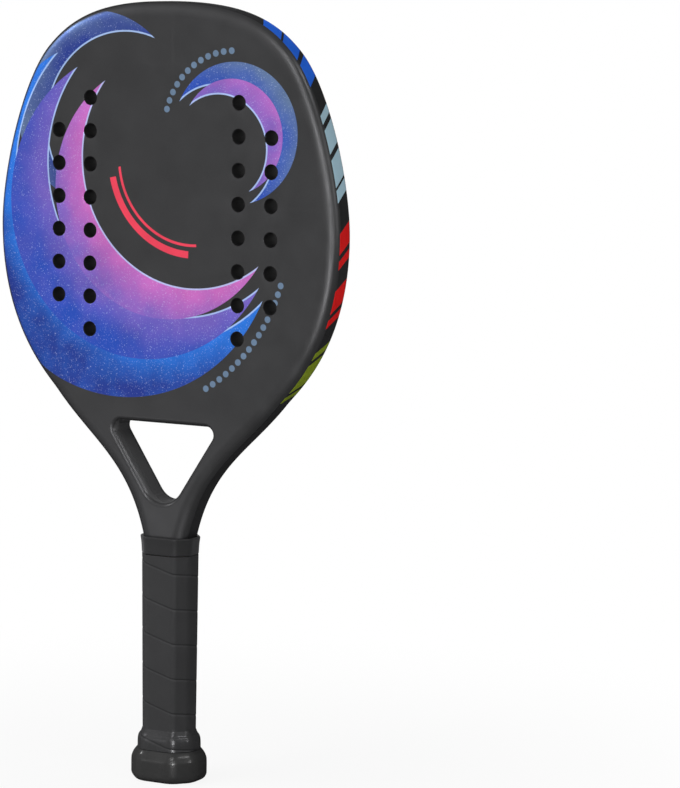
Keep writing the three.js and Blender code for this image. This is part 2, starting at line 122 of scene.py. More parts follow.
class Pen:
    """Adds nodes to one tree and links them."""

    def __init__(self, tree: bpy.types.NodeTree) -> None:
        """Takes the tree that the nodes go into."""
        self.tree = tree

    def node(
        self, kind: str, feeds: Mapping[str | int, Feed] | None = None, **settings: object
    ) -> Node:
        """Adds a node.

        Args:
            kind: Blender's name of the node's type.
            feeds: what goes into its inputs, by name or number.
            settings: properties to set on it.

        Returns:
            The new node.
        """
        made = self.tree.nodes.new(kind)
        for key, value in settings.items():
            setattr(made, key, value)
        for key, value in (feeds or {}).items():
            if isinstance(value, Socket):
                self.tree.links.new(value, made.inputs[key])
            else:
                made.inputs[key].default_value = value
        return made

    def math(self, operation: str, *values: Feed) -> Socket:
        """Adds a Math node and returns its value."""
        made = self.node("ShaderNodeMath", dict(enumerate(values)), operation=operation)
        return made.outputs[0]

    def vector(self, operation: str, *values: Feed) -> Socket:
        """Adds a Vector Math node and returns its vector, or its value where it has one."""
        made = self.node("ShaderNodeVectorMath", dict(enumerate(values)), operation=operation)
        return made.outputs["Value" if operation in ("LENGTH", "DISTANCE") else "Vector"]

    def scaled(self, vector: Feed, scale: Feed) -> Socket:
        """Multiplies a vector by a number."""
        feeds = {0: vector, "Scale": scale}
        return self.node("ShaderNodeVectorMath", feeds, operation="SCALE").outputs[0]

    def split(self, vector: Socket) -> tuple[Socket, ...]:
        """Returns the X, Y and Z of a vector."""
        return tuple(self.node("ShaderNodeSeparateXYZ", {0: vector}).outputs)

    def joined(self, across: Feed = 0.0, deep: Feed = 0.0, up: Feed = 0.0) -> Socket:
        """Makes a vector from three numbers."""
        return self.node("ShaderNodeCombineXYZ", {0: across, 1: deep, 2: up}).outputs[0]

    def ramp(
        self, value: Feed, low: float, high: float, start: float = 0.0, end: float = 1.0
    ) -> Socket:
        """Turns a range of values into another one, easing in and out.

        Args:
            value: what is read.
            low: the value that gives `start`.
            high: the value that gives `end`.
            start: result at and before `low`.
            end: result at and past `high`.

        Returns:
            The result's socket.
        """
        feeds = {"Value": value, "From Min": low, "From Max": high, "To Min": start, "To Max": end}
        made = self.node("ShaderNodeMapRange", feeds, interpolation_type="SMOOTHSTEP")
        return made.outputs[0]

    def fade(self, value: Feed, low: float, high: float) -> Socket:
        """Gives 1 up to a low value, 0 from a high one on, and eases between them."""
        return self.ramp(value, low, high, 1.0, 0.0)

    def mix(self, share: Feed, first: Feed, second: Feed, blend: str = "MIX") -> Socket:
        """Mixes two colours and returns the result."""
        feeds = {0: share, 6: first, 7: second}
        return self.node("ShaderNodeMix", feeds, data_type="RGBA", blend_type=blend).outputs[2]

    def noise(self, place: Feed, scale: Feed, detail: float = 2.0) -> Socket:
        """Adds a noise texture and returns its value."""
        feeds = {"Vector": place, "Scale": scale, "Detail": detail}
        return self.node("ShaderNodeTexNoise", feeds).outputs[0]

    def cells(self, place: Feed, scale: float, feature: str) -> Socket:
        """Adds a Voronoi texture and returns its distance."""
        feeds = {"Vector": place, "Scale": scale}
        return self.node("ShaderNodeTexVoronoi", feeds, feature=feature).outputs["Distance"]

    def attribute(self, name: str) -> Socket:
        """Reads a number that a mesh holds under this name."""
        return self.node("ShaderNodeAttribute", attribute_name=name).outputs["Fac"]

    def stepped(self, value: Feed, stops: Sequence[tuple[float, Tone]]) -> Socket:
        """Turns a value from 0 to 1 into the colour of the last stop before it."""
        made = self.node("ShaderNodeValToRGB", {0: value})
        ramp = made.color_ramp
        ramp.interpolation = "CONSTANT"
        while len(ramp.elements) < len(stops):
            ramp.elements.new(1.0)
        for element, (place, tone) in zip(ramp.elements, stops):
            element.position = place
            element.color = tone.linear
        return made.outputs[0]

    def curved(self, value: Feed, points: Sequence[tuple[float, float]]) -> Socket:
        """Reads a value through a curve whose points' values lie between 0 and 1.1."""
        made = self.node("ShaderNodeFloatCurve", {"Value": value})
        mapping = made.mapping
        mapping.use_clip = False
        mapping.extend = "HORIZONTAL"
        curve = mapping.curves[0]
        while len(curve.points) < len(points):
            curve.points.new(0.5, 0.5)
        for point, spot in zip(curve.points, points):
            point.location = spot
            point.handle_type = "AUTO_CLAMPED"
        mapping.update()
        return made.outputs[0]

    def group(self, tree: bpy.types.NodeTree, **values: Feed) -> bpy.types.NodeOutputs:
        """Places a node group, feeds its inputs by name and returns its outputs."""
        return self.node("ShaderNodeGroup", values, node_tree=tree).outputs


def with_nodes(block: bpy.types.Material | bpy.types.World) -> Pen:
    """Gives a material or a world an empty tree of nodes, and returns its pen."""
    block.use_nodes = True
    block.node_tree.nodes.clear()
    return Pen(block.node_tree)


def declare(tree: bpy.types.NodeTree, way: str, sockets: Iterable[tuple[str, str]]) -> None:
    """Gives a tree its inputs or its outputs, each with a name and a type."""
    for name, kind in sockets:
        tree.interface.new_socket(name=name, in_out=way, socket_type="NodeSocket" + kind)


class EffectGroup:
    """An effect that several finishes share, as one node group."""

    name: str = ""
    takes: tuple[tuple[str, str], ...] = ()
    gives: tuple[tuple[str, str], ...] = ()

    def tree(self) -> bpy.types.NodeTree:
        """Finds the group, or builds it the first time."""
        found = bpy.data.node_groups.get(self.name)
        if found:
            return found
        made = bpy.data.node_groups.new(self.name, "ShaderNodeTree")
        declare(made, "INPUT", self.takes)
        declare(made, "OUTPUT", self.gives)
        pen = Pen(made)
        pen.node("NodeGroupOutput", self.draw(pen, pen.node("NodeGroupInput").outputs))
        return made

    def draw(self, pen: Pen, given: bpy.types.NodeOutputs) -> dict[str, Socket]:
        """Draws the effect's nodes.

        Args:
            pen: draws in the group's tree.
            given: the group's inputs.

        Returns:
            A socket for each of the group's outputs.
        """
        raise NotImplementedError


class MouldedGrain(EffectGroup):
    """The fine grain and slow unevenness of a moulded or lacquered surface."""

    name = "moulded_grain"
    takes = (("Place", "Vector"), ("Scale", "Float"), ("Contrast", "Float"))
    gives = (("Shade", "Float"), ("Unevenness", "Float"), ("Height", "Float"))
    detail = 3.0
    slow_scale = 0.02

    def draw(self, pen: Pen, given: bpy.types.NodeOutputs) -> dict[str, Socket]:
        """Draws a fine noise over a slow one."""
        fine = pen.noise(given["Place"], given["Scale"], self.detail)
        slow_scale = pen.math("MULTIPLY", given["Scale"], self.slow_scale)
        slow = pen.noise(given["Place"], slow_scale, self.detail)
        both = pen.math("SUBTRACT", pen.math("ADD", fine, slow), 1.0)
        return {
            "Shade": pen.math("MULTIPLY_ADD", both, given["Contrast"], 1.0),
            "Unevenness": pen.math("SUBTRACT", slow, 0.5),
            "Height": fine,
        }


class HairScuffs(EffectGroup):
    """Thin scuffs in patches, as sand leaves on a glossy surface."""

    name = "hair_scuffs"
    takes = (("Place", "Vector"), ("Scale", "Float"))
    gives = (("Mask", "Float"),)
    turns_and_stretches = ((0.6, (1.0, 1.0, 0.035)), (-1.1, (0.03, 1.0, 1.0)))
    line_range = (0.68, 0.74)
    patch_range = (0.5, 0.64)
    patch_scale = 0.03

    def draw(self, pen: Pen, given: bpy.types.NodeOutputs) -> dict[str, Socket]:
        """Draws two sets of stretched noise, kept in patches."""
        lines = []
        for turn, stretch in self.turns_and_stretches:
            feeds = {"Vector": given["Place"], "Rotation": (0.0, turn, 0.0), "Scale": stretch}
            stretched = pen.node("ShaderNodeMapping", feeds).outputs[0]
            lines.append(pen.ramp(pen.noise(stretched, given["Scale"], 1.0), *self.line_range))
        patch_scale = pen.math("MULTIPLY", given["Scale"], self.patch_scale)
        patch = pen.ramp(pen.noise(given["Place"], patch_scale), *self.patch_range)
        return {"Mask": pen.math("MULTIPLY", pen.math("MAXIMUM", *lines), patch)}


class EdgePaint(EffectGroup):
    """The painted edge band: slanted blocks in four colours on near-black.

    The near-black is partly the band's paint and partly painted shade where the edge turns from
    the light. A block is given by where it starts and ends along the edge, counted from the crown.
    """

    name = "edge_paint"
    takes = (("Along", "Float"), ("Deep", "Float"), ("Base", "Color"))
    gives = (("Color", "Color"),)
    slant = 0.62
    reach = 0.46
    painted_reach = 0.38
    painted_depths = (5.9 * MM, 6.1 * MM)
    # the dark layer lays the near-black, partly painted shade, over the edge's rounding
    dark_reach = 0.9
    dark_depths = (8.6 * MM, 10.2 * MM)
    blocks = (
        (Tone.SIDE_BLUE, ((62, 76), (79, 93), (96, 110))),
        (Tone.SIDE_PALE, ((128, 133), (137, 152), (155, 171), (174, 180))),
        (Tone.SIDE_RED, ((198, 212), (215, 221), (233, 247), (250, 256))),
        (Tone.SIDE_OLIVE, ((272, 278), (281, 303), (306, 312))),
    )

    def draw(self, pen: Pen, given: bpy.types.NodeOutputs) -> dict[str, Socket]:
        """Draws the blocks from the crown down both edges."""
        travelled = pen.math("ABSOLUTE", given["Along"])
        slanted = pen.math("MULTIPLY_ADD", given["Deep"], self.slant, travelled)
        stops = [(0.0, Tone.SIDE_BLACK_AND_SHADE)]
        for tone, spans in self.blocks:
            for start, end in spans:
                stops.append((start * MM / self.reach, tone))
                stops.append((end * MM / self.reach, Tone.SIDE_BLACK_AND_SHADE))
        paint = pen.stepped(pen.math("DIVIDE", slanted, self.reach), stops)
        deep = pen.math("ABSOLUTE", given["Deep"])
        color: Feed = given["Base"]
        # first the near-black, partly painted shade, over the soft edge; then the blocks over the
        # side band
        for reach, depths, over in (
            (self.dark_reach, self.dark_depths, Tone.SIDE_BLACK_AND_SHADE.linear),
            (self.painted_reach, self.painted_depths, paint),
        ):
            ends = pen.math("LESS_THAN", travelled, reach)
            color = pen.mix(pen.math("MULTIPLY", pen.fade(deep, *depths), ends), color, over)
        return {"Color": color}


def edge_painted(pen: Pen, place: Socket, base: Feed) -> Socket:
    """Lays the edge band's paint, with its partly painted shade, over a colour."""
    along, deep = pen.attribute("along"), pen.split(place)[1]
    return pen.group(EdgePaint().tree(), Along=along, Deep=deep, Base=base)["Color"]


@dataclass(frozen=True)
class Finish:
    """A moulded or lacquered surface of one colour, with its grain, its unevenness and its scuffs.

    A lacquer with metal flakes has them as its metallic share, whose reflection stays dark at a
    low angle. Noises are given by their scale, and the depth of the grain is in millimetres.
    """

    name: str
    tone: Tone
    roughness: float
    grain: float
    grain_depth: float
    contrast: float = 0.2
    scuffs: float = 0.0
    specular: float = 0.5
    flakes: float = 0.0
    unevenness: float = 0.35
    scuff_scale: float = 260.0

    def material(self) -> bpy.types.Material:
        """Finds the material, or builds it the first time."""
        found = bpy.data.materials.get(self.name)
        if found:
            return found
        made = bpy.data.materials.new(self.name)
        pen = with_nodes(made)
        place = pen.node("ShaderNodeTexCoord").outputs["Object"]
        shader = pen.node("ShaderNodeBsdfPrincipled", self.look(pen, place))
        pen.node("ShaderNodeOutputMaterial", {"Surface": shader.outputs[0]})
        return made

    def look(self, pen: Pen, place: Socket) -> dict[str, Feed]:
        """Draws the nodes of the surface and tells what goes into the shader."""
        tree = MouldedGrain().tree()
        grain = pen.group(tree, Place=place, Scale=self.grain, Contrast=self.contrast)
        shade = pen.joined(grain["Shade"], grain["Shade"], grain["Shade"])
        rough = pen.math("MULTIPLY_ADD", grain["Unevenness"], self.unevenness, self.roughness)
        if self.scuffs:
            marks = pen.group(HairScuffs().tree(), Place=place, Scale=self.scuff_scale)["Mask"]
            rough = pen.math("MULTIPLY_ADD", marks, self.scuffs, rough)
        height = self.relief(pen, place, grain["Height"])
        depth = self.grain_depth * MM
        bump = pen.node("ShaderNodeBump", {"Strength": 1.0, "Distance": depth, "Height": height})
        look = {
            "Base Color": pen.mix(1.0, self.color(pen, place), shade, "MULTIPLY"),
            "Roughness": self.gloss(pen, place, rough),
            "Specular IOR Level": self.specular,
            "Normal": bump.outputs[0],
        }
        if self.flakes:
            look |= {"Metallic": self.flakes, "Specular Tint": BLACK}
        return look

    def color(self, pen: Pen, place: Socket) -> Feed:
        """The colour before its grain."""
        return self.tone.linear

    def gloss(self, pen: Pen, place: Socket, rough: Socket) -> Socket:
        """The roughness after what is special to the finish."""
        return rough

    def relief(self, pen: Pen, place: Socket, height: Socket) -> Socket:
        """The height after what is special to the finish."""
        return height


@dataclass(frozen=True)
class Crescent:
    """A crescent of the face's pattern: a disc less a disc, both by centre and radius."""

    disc: tuple[float, float, float]
    cut: tuple[float, float, float]
    outer: Tone
    inner: Tone


@dataclass(frozen=True)
class Arc:
    """An arc of the face's pattern, by centre, radius, width and its ends' angles in degrees."""

    centre: tuple[float, float]
    radius: float
    width: float
    start: float
    end: float
    tone: Tone
    dots: int = 0


@dataclass(frozen=True)
class PaintedFace(Finish):
    """The lacquered face: nested crescents and arcs of dots on charcoal, the painted edge, and
    painted light on its soft rims.
    """

    crescents: tuple[Crescent, ...] = (
        Crescent((-46, 408, 58), (-26, 398, 56), Tone.STEEL_BLUE, Tone.NIGHT_BLUE),
        Crescent((-30, 342, 108), (-3, 369, 101), Tone.NIGHT_BLUE, Tone.BRIGHT_BLUE),
        Crescent((-15, 351, 93), (9, 375, 90), Tone.BLUE, Tone.PURPLE),
        Crescent((1, 360, 77), (19.5, 378.5, 76), Tone.PURPLE, Tone.PINK),
        Crescent((49, 396, 42), (37, 386, 38), Tone.STEEL_BLUE, Tone.BLUE),
        Crescent((47, 394, 34), (38, 386.5, 32), Tone.PINK, Tone.PURPLE),
    )
    arcs: tuple[Arc, ...] = (
        Arc((19.5, 378.5), 56, 4.2, 192, 268, Tone.CORAL),
        Arc((19.5, 378.5), 50.4, 1.6, 186, 274, Tone.CORAL),
        Arc((-30, 342), 116, 3.9, -60, -16, Tone.STEEL_BLUE, 16),
        Arc((49, 396), 48.5, 3.9, 90, 168, Tone.STEEL_BLUE, 12),
    )
    speck_scale = 1500.0
    speck_range = (0.62, 0.72)
    speck_cover = 0.38
    haze_scale = 60.0
    haze_detail = 4.0
    haze_range = (0.35, 0.7)
    haze_share = 0.22
    blend_share = 0.8
    blend_reach = 24.0
    line_width = 1.0
    line_cover = 0.75
    soft = 0.1
    # depths over which the face's colour gives way to the lighter rim tone of painted light
    face_depths = (8.6, 9.4)

    def color(self, pen: Pen, place: Socket) -> Feed:
        """The pattern over the lacquer, then the edge band."""
        across, deep, up = pen.split(pen.scaled(place, 1 / MM))
        flat = pen.joined(across, 0.0, up)
        speckled = pen.noise(place, self.speck_scale)
        specks = pen.ramp(speckled, *self.speck_range, 0.0, self.speck_cover)
        haze = pen.ramp(pen.noise(place, self.haze_scale, self.haze_detail), *self.haze_range)
        color: Feed = self.tone.linear
        for crescent in self.crescents:
            color = self.crescent_over(pen, flat, crescent, color, (specks, haze))
        for arc in self.arcs:
            color = pen.mix(self.arc_cover(pen, flat, arc), color, arc.tone.linear)
        # the lighter lacquer on the soft rims is painted light; the edge paint covers most of it
        # outside
        face = pen.ramp(pen.math("ABSOLUTE", deep), *self.face_depths)
        return edge_painted(pen, place, pen.mix(face, Tone.LAMINATE.linear, color))

    def crescent_over(
        self, pen: Pen, flat: Socket, crescent: Crescent, under: Feed, noises: tuple[Socket, Socket]
    ) -> Socket:
        """Lays one crescent over the colour so far.

        Args:
            pen: draws in the material's tree.
            flat: place on the face, in millimetres.
            crescent: what to draw.
            under: the colour below it.
            noises: cover of the fine pale specks, and a slow change between its two colours.

        Returns:
            The colour with the crescent on it.
        """
        specks, haze = noises
        (disc_x, disc_z, disc), (cut_x, cut_z, cut) = crescent.disc, crescent.cut
        to_disc = pen.vector("DISTANCE", flat, (disc_x, 0.0, disc_z))
        to_cut = pen.vector("DISTANCE", flat, (cut_x, 0.0, cut_z))
        cover = pen.math(
            "MULTIPLY",
            pen.fade(to_disc, disc - self.soft, disc + self.soft),
            pen.ramp(to_cut, cut - self.soft, cut + self.soft),
        )
        blend = pen.fade(to_cut, cut, cut + 0.5 * (disc - cut) + self.blend_reach)
        blend = pen.math("MULTIPLY", blend, self.blend_share)
        share = pen.math("MULTIPLY_ADD", haze, self.haze_share, blend)
        color = pen.mix(share, crescent.outer.linear, crescent.inner.linear)
        color = pen.mix(specks, color, Tone.SPECK.linear)
        line = cut + self.line_width
        rim = pen.fade(to_cut, line - self.soft, line + self.soft)
        rim = pen.math("MULTIPLY", rim, self.line_cover)
        return pen.mix(cover, under, pen.mix(rim, color, Tone.PALE_LINE.linear))

    def arc_cover(self, pen: Pen, flat: Socket, arc: Arc) -> Socket:
        """Finds where an arc lies.

        Args:
            pen: draws in the material's tree.
            flat: place on the face, in millimetres.
            arc: what to draw.

        Returns:
            A cover from 0 to 1.
        """
        from_centre = pen.vector("SUBTRACT", flat, (arc.centre[0], 0.0, arc.centre[1]))
        out = pen.math("SUBTRACT", pen.vector("LENGTH", from_centre), arc.radius)
        middle = math.radians((arc.start + arc.end) / 2)
        half = math.radians((arc.end - arc.start) / 2)
        cosine, sine = math.cos(middle), math.sin(middle)
        across, _, up = pen.split(from_centre)
        turned_across = pen.math("MULTIPLY_ADD", up, sine, pen.math("MULTIPLY", across, cosine))
        turned_up = pen.math("MULTIPLY_ADD", up, cosine, pen.math("MULTIPLY", across, -sine))
        angle = pen.math("ARCTAN2", turned_up, turned_across)
        if arc.dots:
            step = 2 * half / arc.dots
            beat = pen.math("FRACT", pen.math("DIVIDE", pen.math("ADD", angle, half), step))
            slide = pen.math("MULTIPLY", pen.math("SUBTRACT", beat, 0.5), step * arc.radius)
            gap = pen.vector("LENGTH", pen.joined(out, slide))
        else:
            gap = pen.math("ABSOLUTE", out)
        line = pen.fade(gap, arc.width / 2 - self.soft, arc.width / 2 + self.soft)
        ends = pen.math("LESS_THAN", pen.math("ABSOLUTE", angle), half)
        return pen.math("MULTIPLY", line, ends)


@dataclass(frozen=True)
class EdgeBand(Finish):
    """The moulded frame's open band, with the painted blocks, over a lighter lacquer of painted
    light.
    """

    def color(self, pen: Pen, place: Socket) -> Feed:
        """The edge band's blocks over the lighter lacquer, which is painted light on the throat's
        walls.
        """
        return edge_painted(pen, place, self.tone.linear)


@dataclass(frozen=True)
class WoundTape(Finish):
    """Tacky grip tape: fine pebbles, painted shade and a painted highlight at the seam, and a gloss
    where the neck stretches it.
    """

    stretched_heights = (0.031, 0.034)
    stretched_flakes = 0.12
    stretched_gloss = 0.26
    pebble_scale = 1400.0
    pebble_height = 0.8
    # where the painted shade in the seam's groove and the painted highlight on the turn below lie,
    # and how strong each is
    seam_above = (0.965, 0.98)
    seam_below = (0.008, 0.02)
    seam_shade_cover = 0.3
    edge_start = (0.012, 0.025)
    edge_end = (0.05, 0.07)
    edge_highlight_cover = 0.08

    def color(self, pen: Pen, place: Socket) -> Feed:
        """Paints shade into the bottom of the seam and a highlight on the edge of the turn below
        it.
        """
        turn = pen.math("FRACT", pen.attribute("turn"))
        # painted shade in the seam's groove, in the bores' near-black
        above, below = pen.ramp(turn, *self.seam_above), pen.fade(turn, *self.seam_below)
        seam = pen.math("MULTIPLY", pen.math("MAXIMUM", above, below), self.seam_shade_cover)
        # painted highlight on the edge of the turn below the seam, in the paler tape tone
        start, end = pen.ramp(turn, *self.edge_start), pen.fade(turn, *self.edge_end)
        edge = pen.math("MULTIPLY", pen.math("MULTIPLY", start, end), self.edge_highlight_cover)
        edge_highlit = pen.mix(edge, self.tone.linear, Tone.WORN_TAPE.linear)
        return pen.mix(seam, edge_highlit, Tone.BORE_BLACK.linear)

    def look(self, pen: Pen, place: Socket) -> dict[str, Feed]:
        """Adds the sheen over the neck to the plain surface."""
        stretched = self.stretched(pen, place)
        sheen = pen.math("MULTIPLY_ADD", stretched, self.stretched_flakes, self.flakes)
        return super().look(pen, place) | {"Metallic": sheen}

    def stretched(self, pen: Pen, place: Socket) -> Socket:
        """How far the tape is stretched, from 0 on the grip to 1 over the neck."""
        return pen.fade(pen.split(place)[2], *self.stretched_heights)

    def gloss(self, pen: Pen, place: Socket, rough: Socket) -> Socket:
        """Smooths the tape over the neck."""
        return pen.math("MULTIPLY_ADD", self.stretched(pen, place), -self.stretched_gloss, rough)

    def relief(self, pen: Pen, place: Socket, height: Socket) -> Socket:
        """Adds pebbles to the grain, except over the neck."""
        pebbles = pen.cells(place, self.pebble_scale, "SMOOTH_F1")
        pebbled = pen.math("MULTIPLY_ADD", pebbles, self.pebble_height, height)
        slack = pen.math("SUBTRACT", 1.0, self.stretched(pen, place))
        return pen.math("MULTIPLY", pebbled, slack)


@dataclass(frozen=True)
class CellFoam(Finish):
    """Cut closed-cell foam: open cells over a soft grain."""

    cell_scale = 900.0
    cell_wall = 0.3
    cell_height = 0.8

    def relief(self, pen: Pen, place: Socket, height: Socket) -> Socket:
        """Adds the cells to the grain."""
        cells = pen.ramp(pen.cells(place, self.cell_scale, "DISTANCE_TO_EDGE"), 0.0, self.cell_wall)
        return pen.math("MULTIPLY_ADD", cells, -self.cell_height, height)


FACE = PaintedFace(
    "face_lacquer", Tone.LACQUER, 0.38, 2600.0, 0.0015,
    contrast=0.16, scuffs=0.1, specular=0.0, flakes=0.3,
)
# the frame's lighter lacquer is painted light on the throat's walls; the edge paint covers it
# outside
BAND = EdgeBand(
    "edge_band", Tone.LAMINATE, 0.36, 2400.0, 0.0015, scuffs=0.12, specular=0.0, flakes=0.2
)
CORE = CellFoam("cut_foam", Tone.CORE, 0.85, 1500.0, 0.12)
BORE = Finish("sealed_bore", Tone.BORE_BLACK, 0.6, 1800.0, 0.03, contrast=0.5, specular=0.1)
TAPE = WoundTape("tacky_tape", Tone.TAPE, 0.56, 3000.0, 0.012, specular=0.0, flakes=0.06)
SLEEVE = Finish("sleeve_rubber", Tone.SLEEVE, 0.5, 2600.0, 0.01, specular=0.05)
CAP = Finish("smooth_cap", Tone.CAP, 0.24, 2000.0, 0.002, scuffs=0.05, specular=0.0, flakes=0.15)
PALLET = CellFoam("pallet_foam", Tone.PALLET, 0.8, 1200.0, 0.1, contrast=0.3)


def placed(flat: Vector, deep: float) -> Vector:
    """A place on the face at a depth."""
    return Vector((flat.x, deep, flat.y))


def raised(flat: Vector, height: float) -> Vector:
    """A place on the handle's section at a height."""
    return Vector((flat.x, flat.y, height))


def quarter_turn(steps: int) -> list[float]:
    """Even angles from 0 to a quarter of a turn."""
    return [math.pi / 2 * step / steps for step in range(steps + 1)]


class Sheet:
    """A wall as pairs of points, one on each side, and the faces that both sides have."""

    def __init__(self) -> None:
        """Starts empty."""
        self.near: list[Vector] = []
        self.far: list[Vector] = []
        self.along: list[float] = []
        self.faces: list[tuple[int, ...]] = []

    def add(self, near: Vector, far: Vector, along: float = OFF_EDGE) -> int:
        """Adds a pair of points.

        Args:
            near: the point on the first side.
            far: its partner on the other side.
            along: how far along the racket's edge it lies.

        Returns:
            The pair's number.
        """
        self.near.append(near)
        self.far.append(far)
        self.along.append(along * MM)
        return len(self.near) - 1

    def row(self, places: Iterable[Vector], near: float, far: float) -> list[int]:
        """Adds a pair of points for each place on the face, at two depths."""
        return [self.add(placed(at, near), placed(at, far)) for at in places]

    def join(self, first: Sequence[int], second: Sequence[int], closed: bool) -> None:
        """Adds the faces between two rows of as many pairs."""
        count = len(first)
        for i in range(count if closed else count - 1):
            after = (i + 1) % count
            self.faces.append((first[i], first[after], second[after], second[i]))

    def fill(
        self, rim: Sequence[int], holes: Sequence[Sequence[int]], spacing: float, margin: float
    ) -> None:
        """Fills a flat region inside a rim and outside its holes.

        Args:
            rim: the pairs round the region.
            holes: the pairs round each hole.
            spacing: distance between the points that are added inside.
            margin: how far those stay from the rim and the holes.
        """
        loops = [rim, *holes]
        ids = [i for loop in loops for i in loop]
        outer, *inners = ([self.near[i].xz for i in loop] for loop in loops)
        places = filling_places(outer, inners, spacing, margin)
        ids += self.row(places, self.near[rim[0]].y, self.far[rim[0]].y)
        edges, start = [], 0
        for loop in loops:
            edges += [(start + i, start + (i + 1) % len(loop)) for i in range(len(loop))]
            start += len(loop)
        flat = [self.near[i].xz for i in ids]
        made, _, faces, sources, _, _ = delaunay_2d_cdt(flat, edges, [], 1, 1e-5)
        if len(made) != len(flat):
            raise ValueError("the rims of a flat region cross each other")
        for face in faces:
            middle = sum((made[i] for i in face), Vector((0.0, 0.0))) / len(face)
            if encloses(outer, middle) and not any(encloses(hole, middle) for hole in inners):
                self.faces.append(tuple(ids[sources[i][0]] for i in face))

    def mesh(self, name: str) -> Mesh:
        """Makes the closed mesh, in metres, with its distance along the edge as an attribute."""
        count = len(self.near)
        counted: dict[frozenset[int], tuple[int, int, int]] = {}
        for face in self.faces:
            for first, second in zip(face, (*face[1:], face[0])):
                key = frozenset((first, second))
                counted[key] = (counted.get(key, (0, 0, 0))[0] + 1, first, second)
        walls = [
            (second, first, first + count, second + count)
            for uses, first, second in counted.values()
            if uses == 1
        ]
        backs = [tuple(i + count for i in reversed(face)) for face in self.faces]
        made = bpy.data.meshes.new(name)
        points = [point * MM for point in (*self.near, *self.far)]
        made.from_pydata(points, [], [*self.faces, *backs, *walls])
        attribute = made.attributes.new("along", "FLOAT", "POINT")
        attribute.data.foreach_set("value", self.along * 2)
        return made


def encloses(loop: Sequence[Vector], point: Vector) -> bool:
    """Tells whether a closed loop goes round a point."""
    inside = False
    for first, second in zip(loop, (*loop[1:], loop[0])):
        if (first.y > point.y) != (second.y > point.y):
            share = (point.y - first.y) / (second.y - first.y)
            if point.x < first.x + share * (second.x - first.x):
                inside = not inside
    return inside


def filling_places(
    outer: Sequence[Vector], inners: Sequence[Sequence[Vector]], spacing: float, margin: float
) -> list[Vector]:
    """Finds even places inside a region.

    Args:
        outer: the region's rim.
        inners: the rims of its holes.
        spacing: distance between the places.
        margin: least distance from the rims.

    Returns:
        The places, in rows.
    """
    across, up = zip(*outer)
    low, high = Vector((min(across), min(up))), Vector((max(across), max(up)))
    rims = [point for loop in (outer, *inners) for point in loop]
    places = []
    for row in range(1, int((high.y - low.y) / spacing) + 1):
        for column in range(int((high.x - low.x) / spacing) + 1):
            shift = spacing * (0.5 if row % 2 else 0.0)
            place = Vector((low.x + shift + column * spacing, low.y + row * spacing))
            level = (point for point in rims if abs(point.x - place.x) < margin)
            near_rim = any((point - place).length < margin for point in level)
            in_hole = any(encloses(loop, place) for loop in inners)
            if encloses(outer, place) and not near_rim and not in_hole:
                places.append(place)
    return places


@dataclass(frozen=True)
class Station:
    """A place on an outline, with the way that leads into the laminate or off the handle."""

    at: Vector
    way: Vector
    along: float = OFF_EDGE

    def moved(self, reach: float) -> Vector:
        """The place this far along its way."""
        return self.at + self.way * reach


@dataclass(frozen=True)
class Level:
    """One level of a soft edge: how deep it lies, and how far in from outside and opening."""

    deep: float
    outer: float
    inner: float


def bezier(points: Sequence[Vector], share: float) -> tuple[Vector, Vector]:
    """Finds a point of a cubic curve and its direction there."""
    first, second, third, last = points
    rest = 1 - share
    at = (
        first * rest**3
        + second * (3 * rest**2 * share)
        + third * (3 * rest * share**2)
        + last * share**3
    )
    way = (
        (second - first) * rest**2
        + (third - second) * (2 * rest * share)
        + (last - third) * share**2
    )
    return at, way.normalized()


def rounded_corners(
    corners: Sequence[tuple[Vector, float]], steps: int, flat_steps: int
) -> list[Station]:
    """Rounds the corners of a convex polygon that turns left.

    Args:
        corners: places and radii.
        steps: facets of each corner.
        flat_steps: facets of each flat.

    Returns:
        Stations whose way leads off the polygon.
    """
    made: list[Station] = []
    for i, (at, radius) in enumerate(corners):
        arriving = (at - corners[i - 1][0]).normalized()
        leaving = (corners[(i + 1) % len(corners)][0] - at).normalized()
        turn = math.acos(arriving.dot(leaving))
        out = Vector((arriving.y, -arriving.x))
        centre = at - arriving * (radius * math.tan(turn / 2)) - out * radius
        for step in range(steps + 1):
            way = Matrix.Rotation(turn * step / steps, 2) @ out
            made.append(Station(centre + way * radius, way))
    spread: list[Station] = []
    for i, station in enumerate(made):
        spread.append(station)
        if i % (steps + 1) == steps:
            after = made[(i + 1) % len(made)]
            for step in range(1, flat_steps):
                at = station.at.lerp(after.at, step / flat_steps)
                spread.append(Station(at, station.way))
    return spread


